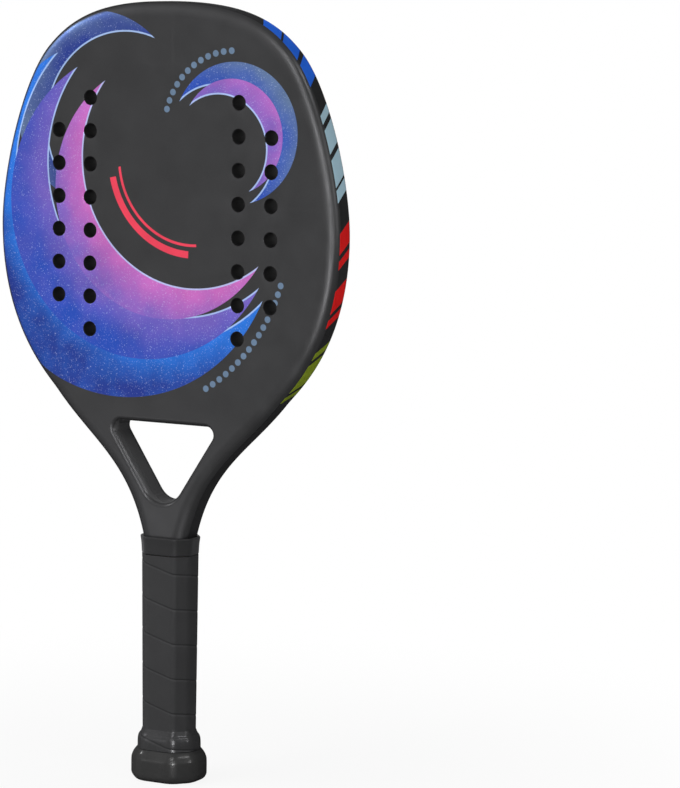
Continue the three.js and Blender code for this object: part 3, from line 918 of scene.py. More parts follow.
@dataclass(frozen=True)
class RacketOutline:
    """The silhouette of the head, legs and shaft, their opening, and the soft edges of both.

    The crown, the shoulder, the bowl and the leg are cubic curves, by shares of the sizes above.
    """

    length: float = 472.5
    head_width: float = 234.8
    widest_height: float = 335.5
    half_thickness: float = 11.0
    shaft_width: float = 30.3
    edge_width: float = 8.5
    edge_depth: float = 6.0
    neck_length: float = 22.0
    collar_top: float = 150.3
    handle_half: float = 11.7
    tube_end: float = 12.0
    throat_floor: float = 171.9
    throat_top: float = 219.3
    throat_width: float = 75.4
    throat_corner: float = 4.6
    throat_floor_radius: float = 13.0
    throat_rim: float = 3.5
    leg_handle: float = 0.461
    crown: Profile = ((0, 1), (0.387, 1), (0.5735, 0.927), (0.7155, 0.7937))
    shoulder: Profile = ((0.7155, 0.7937), (0.877, 0.642), (1, 0.2364), (1, 0))
    bowl: Profile = ((1, 0), (1, 0.5515), (0.6757, 0.791), (0.6013, 0.8693))
    leg: Profile = ((0.1071, 0.642), (0, 0))
    steps: tuple[int, ...] = (30, 30, 30, 40, 10)
    end_steps: int = 4
    throat_steps: tuple[int, ...] = (18, 6)

    @property
    def band_half(self) -> float:
        """Half the depth of the straight side band."""
        return self.half_thickness - self.edge_depth

    def curves(self) -> list[list[Vector]]:
        """The cubic curves of the right side, from the crown down."""
        half, shaft = self.head_width / 2, self.shaft_width / 2
        rise, drop = self.length - self.widest_height, self.widest_height - self.throat_top
        upper = [
            [Vector((x * half, self.widest_height + z * rise)) for x, z in shares]
            for shares in (self.crown, self.shoulder)
        ]
        out = half - shaft
        bowl = [Vector((shaft + x * out, self.widest_height - z * drop)) for x, z in self.bowl]
        onward = (bowl[3] - bowl[2]).normalized()
        onward *= self.leg_handle * (bowl[3].y - self.collar_top)
        reach = self.throat_top - self.collar_top
        low = [Vector((shaft + x * out, self.collar_top + z * reach)) for x, z in self.leg]
        leg = [bowl[3], bowl[3] + onward, *low]
        third = self.neck_length / 3
        start = leg[3] + (leg[3] - leg[2]).normalized() * third
        end = Vector((self.handle_half, self.collar_top - self.neck_length))
        return [*upper, bowl, leg, [leg[3], start, end + Vector((0, third)), end]]

    def chain(self, low: float) -> list[Station]:
        """Stations from a height on the right side over the crown to the same on the left."""
        found: list[tuple[Vector, Vector]] = []
        for number, (curve, steps) in enumerate(zip(self.curves(), self.steps)):
            for step in range(1 if number else 0, steps + 1):
                at, way = bezier(curve, step / steps)
                found.append((at, Vector((way.y, -way.x))))
        end, neck_end = found[-1][0], self.collar_top - self.neck_length
        for step in range(1, self.end_steps + 1):
            height = neck_end + (self.tube_end - neck_end) * (step / self.end_steps)
            found.append((Vector((end.x, height)), Vector((-1.0, 0.0))))
        right: list[Station] = []
        travelled = 0.0
        for i, (at, inward) in enumerate(found):
            before = found[i - 1][0] if i else at
            if at.y < low:
                share = (before.y - low) / (before.y - at.y)
                at = before.lerp(at, share)
            travelled += (at - before).length
            right.append(Station(at, inward, travelled))
            if at.y <= low + 1e-6:
                break
        left = [
            Station(Vector((-s.at.x, s.at.y)), Vector((-s.way.x, s.way.y)), -s.along)
            for s in right[1:]
        ]
        return [*reversed(right), *left]

    def throat(self) -> list[Station]:
        """Stations round the opening, whose inward way leads into the laminate."""
        floor_centre = Vector((0.0, self.throat_floor + self.throat_floor_radius))
        reach = Vector((self.throat_width / 2, self.throat_top)) - floor_centre
        half_angle = math.acos(self.throat_floor_radius / reach.length)
        half_angle -= math.atan2(reach.y, reach.x)
        apex = self.throat_top - self.throat_width / 2 / math.tan(half_angle)
        corners = [
            (Vector((self.throat_width / 2, self.throat_top)), self.throat_corner),
            (Vector((-self.throat_width / 2, self.throat_top)), self.throat_corner),
            (Vector((0.0, apex)), self.throat_floor_radius),
        ]
        return rounded_corners(corners, *self.throat_steps)

    def edges(self, low: float) -> tuple[tuple[list[Station], bool, str], ...]:
        """The outer edge down to a height and the opening's: stations, whether closed, and name."""
        return (self.chain(low), False, "outer"), (self.throat(), True, "inner")

    def edge_levels(self, offset: float, steps: int) -> list[Level]:
        """Levels of the soft edge from the side band to the face, this far under the outside."""
        return [
            Level(
                self.band_half + (self.edge_depth - offset) * math.sin(angle),
                offset + (self.edge_width - offset) * (1 - math.cos(angle)),
                offset + (self.throat_rim - offset) * (1 - math.cos(angle)),
            )
            for angle in quarter_turn(steps)
        ]


def dressed(
    mesh: Mesh, finish: Finish, nodes: Sequence[str], sharp: float = 35.0
) -> Piece:
    """Turns a closed mesh into a finished piece of the racket.

    Args:
        mesh: the piece's mesh, in metres.
        finish: what it is made of.
        nodes: the CAD nodes that it stands for.
        sharp: edges that turn by more than this many degrees stay sharp.

    Returns:
        The piece, which rides on the racket.
    """
    work = bmesh.new()
    work.from_mesh(mesh)
    bmesh.ops.recalc_face_normals(work, faces=work.faces)
    open_edges = sum(1 for edge in work.edges if not edge.is_manifold)
    work.to_mesh(mesh)
    work.free()
    mesh.shade_smooth()
    mesh.set_sharp_from_angle(angle=math.radians(sharp))
    mesh.materials.clear()
    mesh.materials.append(finish.material())
    piece = bpy.data.objects.new(mesh.name, mesh)
    bpy.context.scene.collection.objects.link(piece)
    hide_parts(*nodes)
    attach(piece, BODY)
    LOG.info("%s: %d faces, %d open edges", piece.name, len(mesh.polygons), open_edges)
    return piece


def modified(
    name: str, start: Mesh, kind: str, settings: Mapping[str, object], values: Mapping[str, object]
) -> Mesh:
    """Runs one modifier on a mesh, which is used up.

    Args:
        name: the name of the result.
        start: the mesh that goes in.
        kind: the modifier's type.
        settings: properties to set on it.
        values: values for the inputs of its tree, by identifier.

    Returns:
        The result as a plain mesh.
    """
    carrier = bpy.data.objects.new(name + "_maker", start)
    bpy.context.scene.collection.objects.link(carrier)
    modifier = carrier.modifiers.new("make", kind)
    for key, value in settings.items():
        setattr(modifier, key, value)
    for key, value in values.items():
        modifier[key] = value
    graph = bpy.context.evaluated_depsgraph_get()
    made = bpy.data.meshes.new_from_object(carrier.evaluated_get(graph), depsgraph=graph)
    bpy.data.objects.remove(carrier)
    bpy.data.meshes.remove(start)
    made.name = name
    return made


class GeometryTree:
    """A Geometry Nodes tree whose inputs have names and values."""

    def __init__(self, name: str, values: dict[str, int | float | bpy.types.Material]) -> None:
        """Makes the tree.

        Args:
            name: the tree's name, which is also the result's.
            values: a value for each input after the geometry.
        """
        self.name = name
        self.values = values
        self.tree = bpy.data.node_groups.new(name, "GeometryNodeTree")
        kinds = {int: "Int", float: "Float"}
        inputs = [(label, kinds.get(type(value), "Material")) for label, value in values.items()]
        declare(self.tree, "INPUT", [("Geometry", "Geometry"), *inputs])
        declare(self.tree, "OUTPUT", [("Geometry", "Geometry")])
        self.pen = Pen(self.tree)
        self.given = self.pen.node("NodeGroupInput").outputs

    def finish(self, geometry: Socket) -> None:
        """Ends the tree: real geometry with smooth faces and its material."""
        made = geometry
        for kind, feeds in (
            ("GeometryNodeRealizeInstances", {}),
            ("GeometryNodeSetShadeSmooth", {}),
            ("GeometryNodeSetMaterial", {"Material": self.given["Material"]}),
        ):
            made = self.pen.node(kind, {0: made} | feeds).outputs[0]
        self.pen.node("NodeGroupOutput", {0: made})

    def mesh(self, start: Mesh) -> Mesh:
        """Runs the tree once on a mesh, which is used up, and returns a plain mesh."""
        inputs = {
            item.name: item.identifier
            for item in self.tree.interface.items_tree
            if item.in_out == "INPUT"
        }
        values = {inputs[label]: value for label, value in self.values.items()}
        return modified(self.name, start, "NODES", {"node_group": self.tree}, values)


@dataclass
class Head:
    """The head, legs and shaft: two faces over the moulded frame, and the drilled core inside.

    A column of holes is given by its place across the head and its number of holes. A filling is
    the spacing of the points on a flat and how far they stay from its rims.
    """

    outline: RacketOutline = field(default_factory=RacketOutline)
    skin: float = 1.0
    seat_gap: float = 0.3
    parting_gap: float = 0.1
    skin_end: float = 141.1
    tube_width: float = 11.4
    bridge_height: float = 14.0
    bridge_radius: float = 160.0
    hole_radius: float = 4.55
    hole_rim: float = 0.12
    hole_sides: int = 56
    hole_pitch: float = 20.0
    field_height: float = 344.0
    columns: Profile = ((51.4, 8), (73.5, 6))
    liner_wall: float = 0.16
    liner_round: float = 0.45
    rim_steps: int = 3
    rim_support: float = 0.08
    face_steps: int = 12
    frame_steps: int = 6
    face_filling: tuple[float, float] = (7.0, 3.0)
    frame_filling: tuple[float, float] = (12.0, 5.0)
    core_filling: tuple[float, float] = (9.0, 4.0)
    liner_depth: float = 0.15
    bridge_span: float = 120.0
    bridge_steps: int = 40
    window_clearance: float = 1.0

    def hole_centres(self) -> list[Vector]:
        """The places of the drilled holes on the face."""
        return [
            Vector((side * across, self.field_height + self.hole_pitch * (row - (count - 1) / 2)))
            for across, count in self.columns
            for side in (1, -1)
            for row in range(count)
        ]

    def ring(self, centre: Vector, radius: float) -> list[Vector]:
        """Even places round a hole."""
        turns = (2 * math.pi * i / self.hole_sides for i in range(self.hole_sides))
        return [centre + Vector((math.cos(turn), math.sin(turn))) * radius for turn in turns]

    def rows(
        self,
        sheet: Sheet,
        edge: tuple[list[Station], bool],
        insets: Sequence[tuple[float, float]],
        depths: Sequence[tuple[float, float]],
    ) -> list[int]:
        """Adds the rows of a soft edge.

        Args:
            sheet: takes the rows.
            edge: the outline that they follow, and whether it is closed.
            insets: for each row, how far in its near and far points lie.
            depths: for each row, how deep they lie.

        Returns:
            The last row.
        """
        stations, closed = edge
        last: list[int] = []
        for inset, deep in zip(insets, depths):
            row = []
            for s in stations:
                near, far = (placed(s.moved(i), d) for i, d in zip(inset, deep))
                row.append(sheet.add(near, far, s.along))
            if last:
                sheet.join(last, row, closed)
            last = row
        return last

    def face(self, side: Side) -> Piece:
        """Builds one face: a thin shell whose rim turns down to the side band, with its holes."""
        outline, way, sheet = self.outline, side.value, Sheet()
        sides = (outline.edge_levels(offset, self.face_steps) for offset in (0.0, self.skin))
        levels = list(zip(*sides))
        depths = [(way * outer.deep, way * inner.deep) for outer, inner in levels]
        surface, under = depths[-1]
        rims = []
        for stations, closed, edge in outline.edges(self.skin_end):
            insets = [(getattr(outer, edge), getattr(inner, edge)) for outer, inner in levels]
            insets.append(tuple(inset + self.rim_support for inset in insets[-1]))
            rims.append(self.rows(sheet, (stations, closed), insets, [*depths, depths[-1]]))
        holes = []
        for centre in self.hole_centres():
            last: list[int] = []
            for angle in quarter_turn(self.rim_steps):
                radius = self.hole_radius + self.hole_rim * (2 - math.sin(angle))
                deep = surface - way * self.hole_rim * (1 - math.cos(angle))
                row = sheet.row(self.ring(centre, radius), deep, under)
                if last:
                    sheet.join(last, row, True)
                else:
                    holes.append(row)
                last = row
        sheet.fill(rims[0], [rims[1], *holes], *self.face_filling)
        name = f"{side.name.lower()}_face"
        return dressed(sheet.mesh(name), FACE, [f"{name}_skin"])

    def window(self, inset: float, rise: float) -> list[Vector]:
        """The room inside the tube and over the bridge, this far in and over the bridge's top."""
        centre = self.outline.throat_top + self.bridge_height + self.bridge_radius + rise

        def bridge_top(across: float) -> float:
            """Height of the bridge's upper side at a place across the head."""
            reach = min(abs(across), self.bridge_span)
            return centre - math.sqrt(self.bridge_radius**2 - reach**2)

        sides = [s.moved(inset) for s in self.outline.chain(self.outline.throat_top)]
        kept = [at for at in sides if at.y > bridge_top(at.x) + self.window_clearance]
        left, right = kept[-1].x, kept[0].x
        shares = (step / self.bridge_steps for step in range(self.bridge_steps + 1))
        across = [left + (right - left) * share for share in shares]
        return [*kept, *(Vector((x, bridge_top(x))) for x in across)]

    def frame(self) -> Piece:
        """Builds the moulded frame: the tube round the head and legs, the bridge and the gusset."""
        outline, sheet = self.outline, Sheet()
        band = outline.band_half - self.parting_gap
        levels = outline.edge_levels(self.skin + self.seat_gap, self.frame_steps)
        depths = [band, band, *(level.deep for level in levels[1:])]
        rims = []
        for stations, closed, edge in outline.edges(outline.tube_end):
            reaches = [0.0, *(getattr(level, edge) for level in levels)]
            insets = [(reach, reach) for reach in reaches]
            rims.append(self.rows(sheet, (stations, closed), insets, [(-d, d) for d in depths]))
        window = sheet.row(self.window(self.tube_width, 0.0), -depths[-1], depths[-1])
        sheet.fill(rims[0], [rims[1], window], *self.frame_filling)
        nodes = ["frame_tube", "throat_bridge", "throat_gusset"]
        return dressed(sheet.mesh("moulded_frame"), BAND, nodes)

    def core(self) -> Piece:
        """Builds the foam core with its drilled holes."""
        sheet, gap = Sheet(), self.seat_gap
        deep = self.outline.half_thickness - self.skin - gap
        rim = sheet.row(self.window(self.tube_width + gap, gap), -deep, deep)
        radius = self.hole_radius + 2 * self.hole_rim
        holes = [sheet.row(self.ring(at, radius), -deep, deep) for at in self.hole_centres()]
        sheet.fill(rim, holes, *self.core_filling)
        return dressed(sheet.mesh("drilled_core"), CORE, ["foam_core"])

    def bores(self) -> Piece:
        """Builds the sealed walls of the drilled holes, one in every hole."""
        values = {
            "Radius": (self.hole_radius - self.liner_wall / 2) * MM,
            "Wall": self.liner_wall * MM,
            "Length": 2 * (self.outline.half_thickness - self.liner_depth) * MM,
            "Sides": self.hole_sides,
            "Material": BORE.material(),
        }
        tree = GeometryTree("sealed_bores", values)
        pen, given = tree.pen, tree.given
        radius = pen.math("MULTIPLY_ADD", given["Wall"], 0.5, given["Radius"])
        feeds = {"Resolution": given["Sides"], "Radius": radius}
        circle = pen.node("GeometryNodeCurvePrimitiveCircle", feeds, mode="RADIUS")
        feeds = {"Curve": circle.outputs["Curve"]}
        upright = pen.node("GeometryNodeSetCurveNormal", feeds, mode="Z_UP")
        feeds = {"Width": given["Wall"], "Height": given["Length"]}
        section = pen.node("GeometryNodeCurvePrimitiveQuadrilateral", feeds, mode="RECTANGLE")
        softness = pen.math("MULTIPLY", given["Wall"], self.liner_round)
        feeds = {"Curve": section.outputs[0], "Radius": softness, "Count": self.rim_steps}
        softened = pen.node("GeometryNodeFilletCurve", feeds, mode="POLY")
        feeds = {"Curve": upright.outputs[0], "Profile Curve": softened.outputs[0]}
        wall = pen.node("GeometryNodeCurveToMesh", feeds)
        feeds = {
            "Points": given["Geometry"],
            "Instance": wall.outputs[0],
            "Rotation": (math.pi / 2, 0.0, 0.0),
        }
        tree.finish(pen.node("GeometryNodeInstanceOnPoints", feeds).outputs[0])
        centres = bpy.data.meshes.new("hole_centres")
        centres.from_pydata([placed(at, 0.0) * MM for at in self.hole_centres()], [], [])
        return dressed(tree.mesh(centres), BORE, ["foam_core"])


@dataclass(frozen=True)
class HandleSection:
    """The octagonal section over the tape, and how it tapers to the butt."""

    width: float = 34.2
    depth: float = 26.8
    front_flat: float = 20.2
    side_flat: float = 10.8
    corner: float = 6.0
    lower_share: float = 0.945
    tape_top: float = 139.2
    tape_bottom: float = 19.5

    def stations(self, steps: int = 10, flat_steps: int = 3) -> list[Station]:
        """Stations round the section at the collar, from the front right corner on."""
        across, deep = self.width / 2, self.depth / 2
        front, side = self.front_flat / 2, self.side_flat / 2
        corners = [(front, -deep), (across, -side), (across, side), (front, deep)]
        corners += [(-x, -y) for x, y in corners]
        return rounded_corners([(Vector(at), self.corner) for at in corners], steps, flat_steps)

    def loop(self, height: float, grow: float) -> list[Vector]:
        """The section at a height, this far outside the tape."""
        down = (self.tape_top - height) / (self.tape_top - self.tape_bottom)
        scale = 1 - (1 - self.lower_share) * down
        return [raised(s.at * scale + s.way * grow, height) for s in self.stations()]


def lofted(name: str, loops: Sequence[Sequence[Vector]]) -> Mesh:
    """Joins loops of as many points into one closed ring-shaped mesh, the last to the first."""
    count, rows = len(loops[0]), len(loops)
    faces = []
    for row in range(rows):
        near, far = row * count, (row + 1) % rows * count
        for i in range(count):
            j = (i + 1) % count
            faces.append((near + i, near + j, far + j, far + i))
    made = bpy.data.meshes.new(name)
    made.from_pydata([point * MM for loop in loops for point in loop], [], faces)
    return made


def smooth_profile(points: Sequence[tuple[float, float]], steps: int) -> list[tuple[float, float]]:
    """Runs a smooth curve through the points of a profile.

    Args:
        points: heights and how far each stands out.
        steps: points on each stretch.

    Returns:
        The points of the curve.
    """
    spots = [Vector(point) for point in points]
    ends = [spots[0] * 2 - spots[1], *spots, spots[-1] * 2 - spots[-2]]
    made = []
    for i in range(1, len(ends) - 2):
        before, first, last, after = ends[i - 1 : i + 3]
        handles = [first, first + (last - before) / 6, last - (after - first) / 6, last]
        made += [bezier(handles, step / steps)[0] for step in range(steps)]
    made.append(spots[-1])
    return [(point.x, point.y) for point in made]


@dataclass
class Handle:
    """The handle: wound tape over two foam halves, with a rubber sleeve above and the cap below.

    A profile holds heights and how far it stands out there. Those of the bulge, the knob and the
    seam are shares of the whole, and those of the sleeve, the neck and the hole's rim are sizes.
    """

    section: HandleSection = field(default_factory=HandleSection)
    outline: RacketOutline = field(default_factory=RacketOutline)
    tape_thickness: float = 1.6
    tape_pitch: float = 21.45
    first_seam: float = 129.4
    seam_depth: float = 0.2
    seam_drop: Profile = ((0.0, 0.0), (0.025, 0.034), (0.13, 0.078), (0.83, 0.77), (1.0, 1.0))
    seam_shape: Profile = (
        (0, 0), (0.018, 0.3), (0.045, 0.72), (0.09, 0.95), (0.2, 1),
        (0.7, 1), (0.965, 0.98), (0.98, 0.84), (0.992, 0.35), (1, 0),
    )
    turn_offset: float = 64.0
    merged_within: float = 0.002
    tape_rows: int = 430
    tape_steps: tuple[int, ...] = (8, 6)
    bulge_height: float = 12.0
    bulge_out: float = 2.9
    bulge: Profile = ((0, 1.08), (0.5, 0.97), (0.67, 0.74), (0.78, 0.4), (1, 0))
    sleeve_bottom: float = 139.5
    sleeve_top: float = 150.3
    sleeve_flare: float = 0.9
    sleeve_rim: float = 0.7
    sleeve_body: Profile = ((0, -0.3), (0.2, -0.05), (0.6, 0.12), (2, 0.2), (6, 0.42), (9.6, 0.86))
    sleeve_lip: Profile = ((0.25, -0.35), (0.55, -0.9))
    sleeve_throat: tuple[float, float] = (0.6, 3.0)
    sleeve_insides: tuple[float, float] = (-2.2, -1.6)
    sleeve_steps: tuple[int, ...] = (4, 5)
    shaft_steps: int = 16
    shaft_gap: float = 0.12
    shoulder: float = 19.2
    flare: float = 7.0
    foot_round: float = 4.5
    knob: Profile = ((0.18, 1), (0.63, 0.985), (0.76, 0.91), (0.87, 0.77), (0.95, 0.61), (1, 0.49))
    neck: Profile = ((0, 1.08), (6, 1), (8, 0.5))
    fit_gap: float = 0.15
    cap_floor: float = 3.0
    cap_wall: float = 2.4
    socket_height: float = 17.0
    cord_hole: float = 4.0
    cord_rim: Profile = ((0, 0.5), (0.15, 0.15), (0.5, 0))
    inside_foot: Profile = ((1.2, 1.0), (0, -0.6))
    foot_steps: int = 7
    knob_steps: int = 5

    def tape(self) -> Piece:
        """Builds the wound tape: one strip down the handle, whose seam follows a helix."""
        section = self.section
        stations = section.stations(*self.tape_steps)
        values = {
            "Columns": len(stations),
            "Rows": self.tape_rows,
            "Top": section.tape_top * MM,
            "Bottom": section.tape_bottom * MM,
            "Lower Share": section.lower_share,
            "Pitch": self.tape_pitch * MM,
            "First Seam": self.first_seam * MM,
            "Seam Depth": self.seam_depth * MM,
            "Bulge Height": self.bulge_height * MM,
            "Bulge Out": self.bulge_out * MM,
            "Material": TAPE.material(),
        }
        tree = GeometryTree("wound_tape", values)
        self.wind(tree)
        start = bpy.data.meshes.new("tape_section")
        start.from_pydata([raised(s.at, 0.0) * MM for s in stations], [], [])
        lengths = [(stations[i].at - stations[i - 1].at).length for i in range(len(stations))]
        around = sum(lengths)
        shares = [self.turned(sum(lengths[1 : i + 1]) / around) for i in range(len(stations))]
        ways = [part for s in stations for part in raised(s.way, 0.0)]
        for name, kind, key, data in (
            ("round_share", "FLOAT", "value", shares),
            ("out_way", "FLOAT_VECTOR", "vector", ways),
        ):
            start.attributes.new(name, kind, "POINT").data.foreach_set(key, data)
        made = thickened(tree.mesh(start), self.tape_thickness * MM)
        return dressed(made, TAPE, ["grip_tape"], sharp=60.0)

    def turned(self, around: float) -> float:
        """How much of a turn's drop the seam has made at a share of the way round the section."""
        for (first, start), (last, end) in zip(self.seam_drop, self.seam_drop[1:]):
            if around <= last:
                return start + (end - start) * (around - first) / (last - first)
        return 1.0

    def wind(self, tree: GeometryTree) -> None:
        """Draws the tape's tree: a grid wrapped round the section, with the bulge and the seam."""
        pen, given = tree.pen, tree.given
        columns, top, bottom = given["Columns"], given["Top"], given["Bottom"]
        feeds = {"Vertices X": pen.math("ADD", columns, 1.0), "Vertices Y": given["Rows"]}
        grid = pen.node("GeometryNodeMeshGrid", feeds)
        across, up, _ = pen.split(pen.node("GeometryNodeInputPosition").outputs[0])
        unwrapped = pen.math("ROUND", pen.math("MULTIPLY", pen.math("ADD", across, 0.5), columns))
        column = pen.math("MODULO", unwrapped, columns)
        share = pen.math("ADD", up, 0.5)

        def sampled(kind: str, name: str = "") -> Socket:
            """Reads the section's place, or what it holds under a name, at this column."""
            if name:
                source = "GeometryNodeInputNamedAttribute"
                value = pen.node(source, {"Name": name}, data_type=kind).outputs["Attribute"]
            else:
                value = pen.node("GeometryNodeInputPosition").outputs[0]
            feeds = {"Geometry": given["Geometry"], "Value": value, "Index": column}
            made = pen.node("GeometryNodeSampleIndex", feeds, data_type=kind, domain="POINT")
            return made.outputs["Value"]

        at = sampled("FLOAT_VECTOR")
        out = sampled("FLOAT_VECTOR", "out_way")
        height = pen.math("MULTIPLY_ADD", share, pen.math("SUBTRACT", top, bottom), bottom)
        lost = pen.math("SUBTRACT", 1.0, given["Lower Share"])
        lost = pen.math("MULTIPLY", lost, pen.math("SUBTRACT", 1.0, share))
        scale = pen.math("SUBTRACT", 1.0, lost)
        over_foot = pen.math("SUBTRACT", height, bottom)
        over_foot = pen.math("DIVIDE", over_foot, given["Bulge Height"])
        bulge = pen.math("MULTIPLY", pen.curved(over_foot, self.bulge), given["Bulge Out"])
        turns = pen.math("SUBTRACT", given["First Seam"], height)
        turns = pen.math("DIVIDE", turns, given["Pitch"])
        whole = pen.math("FLOOR", pen.math("DIVIDE", unwrapped, columns))
        turned = pen.math("ADD", sampled("FLOAT", "round_share"), whole)
        wound = pen.math("ADD", pen.math("SUBTRACT", turns, turned), self.turn_offset)
        sunk = pen.curved(pen.math("FRACT", wound), self.seam_shape)
        sunk = pen.math("SUBTRACT", sunk, 1.0)
        grow = pen.math("MULTIPLY_ADD", sunk, given["Seam Depth"], bulge)
        place = pen.vector("ADD", pen.scaled(at, scale), pen.scaled(out, grow))
        place = pen.vector("ADD", place, pen.joined(up=height))
        feeds = {"Geometry": grid.outputs["Mesh"], "Name": "turn", "Value": wound}
        store = "GeometryNodeStoreNamedAttribute"
        marked = pen.node(store, feeds, data_type="FLOAT", domain="CORNER")
        feeds = {"Geometry": marked.outputs[0], "Position": place}
        shaped = pen.node("GeometryNodeSetPosition", feeds)
        feeds = {"Geometry": shaped.outputs[0], "Distance": self.merged_within * MM}
        tree.finish(pen.node("GeometryNodeMergeByDistance", feeds).outputs[0])

    def sleeve(self) -> Piece:
        """Builds the rubber sleeve over the top of the tape, open round the shaft."""
        section, top, bottom = self.section, self.sleeve_top, self.sleeve_bottom
        rim, (body_steps, rim_steps) = self.sleeve_rim, self.sleeve_steps
        outside = [(bottom + up, out) for up, out in smooth_profile(self.sleeve_body, body_steps)]
        outside += [
            (top - rim + rim * math.sin(t), self.sleeve_flare - rim + rim * math.cos(t))
            for t in quarter_turn(rim_steps)
        ]
        outside += [(top - down, out) for down, out in self.sleeve_lip]
        loops = [section.loop(up, out) for up, out in outside]
        shaft = self.shaft_loop()
        loops += [[raised(at, top - down) for at in shaft] for down in self.sleeve_throat]
        heights = (top - self.sleeve_throat[-1], bottom)
        loops += [section.loop(up, out) for up, out in zip(heights, self.sleeve_insides)]
        mesh = lofted("grip_sleeve", loops)
        return dressed(mesh, SLEEVE, ["grip_collar"], sharp=50.0)

    def shaft_loop(self) -> list[Vector]:
        """A section a little outside the shaft, at the angles of the handle's stations."""
        outline, gap = self.outline, self.shaft_gap
        half, deep, band = outline.shaft_width / 2, outline.half_thickness, outline.band_half
        quarter = [Vector((half + gap, 0.0))]
        for angle in quarter_turn(self.shaft_steps):
            x = half - outline.edge_width * (1 - math.cos(angle)) + gap * math.cos(angle)
            y = band + (outline.edge_depth + gap) * math.sin(angle)
            quarter.append(Vector((x, y)))
        quarter.append(Vector((0.0, deep + gap)))
        loop = []
        for station in self.section.stations():
            angle = math.atan2(abs(station.at.y), abs(station.at.x))
            for first, second in zip(quarter, quarter[1:]):
                low, high = math.atan2(first.y, first.x), math.atan2(second.y, second.x)
                if low <= angle <= high + 1e-9:
                    way = Vector((math.cos(angle), math.sin(angle)))
                    edge = second - first
                    reach = first.cross(edge) / way.cross(edge)
                    at = way * reach
                    break
            signed = (math.copysign(part, sign) for part, sign in zip(at, station.at))
            loop.append(Vector(signed))
        return loop

    def cap(self) -> Piece:
        """Builds the butt cap: a flared knob and a neck, with the cord's hole through its floor."""
        section, shoulder, foot_round = self.section, self.shoulder, self.foot_round
        foot = [
            (foot_round * (1 - math.cos(t)), self.flare - foot_round * (1 - math.sin(t)))
            for t in quarter_turn(self.foot_steps)
        ]
        knob = [foot[-1], *((up * shoulder, out * self.flare) for up, out in self.knob[1:])]
        neck_out = self.bulge_out - self.tape_thickness - 2 * self.fit_gap
        neck = [(shoulder + up, out * neck_out) for up, out in self.neck]
        inner = -self.tape_thickness - self.fit_gap
        inside = [
            (neck[-1][0], inner),
            (self.socket_height, inner),
            (self.socket_height - self.cap_wall, self.flare - self.cap_wall),
            (self.cap_floor + foot_round, self.flare - self.cap_wall),
        ]
        for up, out in self.inside_foot:
            inside.append((self.cap_floor + up, self.flare - foot_round + out))
        outside = [*foot[:-1], *smooth_profile(knob, self.knob_steps)]
        loops = [section.loop(up, out) for up, out in (*outside, *neck, *inside)]
        mouth = [(self.cap_floor - down, wider) for down, wider in self.cord_rim]
        mouth += reversed(self.cord_rim)
        ways = [s.at.normalized() for s in section.stations()]
        for up, wider in mouth:
            loops.append([raised(way * (self.cord_hole + wider), up) for way in ways])
        mesh = lofted("handle_cap", loops)
        return dressed(mesh, CAP, ["butt_cap"], sharp=50.0)

    def dress_pallets(self, nodes: dict[str, Piece]) -> None:
        """Gives the two foam halves their material."""
        for name in ("front_handle_pallet", "back_handle_pallet"):
            materials = nodes[name].data.materials
            materials.clear()
            materials.append(PALLET.material())
            LOG.info("%s: dressed", name)


def thickened(mesh: Mesh, thickness: float) -> Mesh:
    """Gives an open tube of one layer its thickness, inwards.

    Args:
        mesh: the tube round the Z axis.
        thickness: its wall, in metres.

    Returns:
        A closed mesh.
    """
    work = bmesh.new()
    work.from_mesh(mesh)
    bmesh.ops.recalc_face_normals(work, faces=work.faces)
    work.faces.ensure_lookup_table()
    middle = work.faces[len(work.faces) // 2]
    if middle.normal.xy.dot(middle.calc_center_median().xy) < 0:
        bmesh.ops.reverse_faces(work, faces=work.faces)
    work.to_mesh(mesh)
    work.free()
    settings = {"thickness": thickness, "offset": -1.0}
    return modified(mesh.name, mesh, "SOLIDIFY", settings, {})


def bearing(azimuth: float, elevation: float) -> Vector:
    """The way from the racket at an azimuth and an elevation in degrees."""
    turn, lift = math.radians(azimuth), math.radians(elevation)
    return Vector(
        (math.sin(turn) * math.cos(lift), -math.cos(turn) * math.cos(lift), math.sin(lift))
    )


@dataclass(frozen=True)
class Lamp:
    """A soft lamp that faces the racket, by its direction from the racket's middle in degrees.

    A highlight lamp is only mirrored by glossy surfaces, and any other lamp only lights them.
    """

    name: str
    azimuth: float
    elevation: float
    distance: float
    width: float
    height: float
    power: float
    highlight: bool = False
    aim: tuple[float, float, float] = (0.0, 0.0, 0.25)

    def hang(self) -> None:
        """Adds the lamp to the scene."""
        lamp = bpy.data.lights.new(self.name, "AREA")
        lamp.shape = "RECTANGLE"
        lamp.size = self.width
        lamp.size_y = self.height
        lamp.energy = self.power
        way = bearing(self.azimuth, self.elevation)
        carrier = bpy.data.objects.new(self.name, lamp)
        carrier.location = Vector(self.aim) + way * self.distance
        carrier.rotation_euler = way.to_track_quat("Z", "Y").to_euler()
        carrier.visible_camera = False
        carrier.visible_glossy = self.highlight
        carrier.visible_diffuse = not self.highlight
        bpy.context.scene.collection.objects.link(carrier)


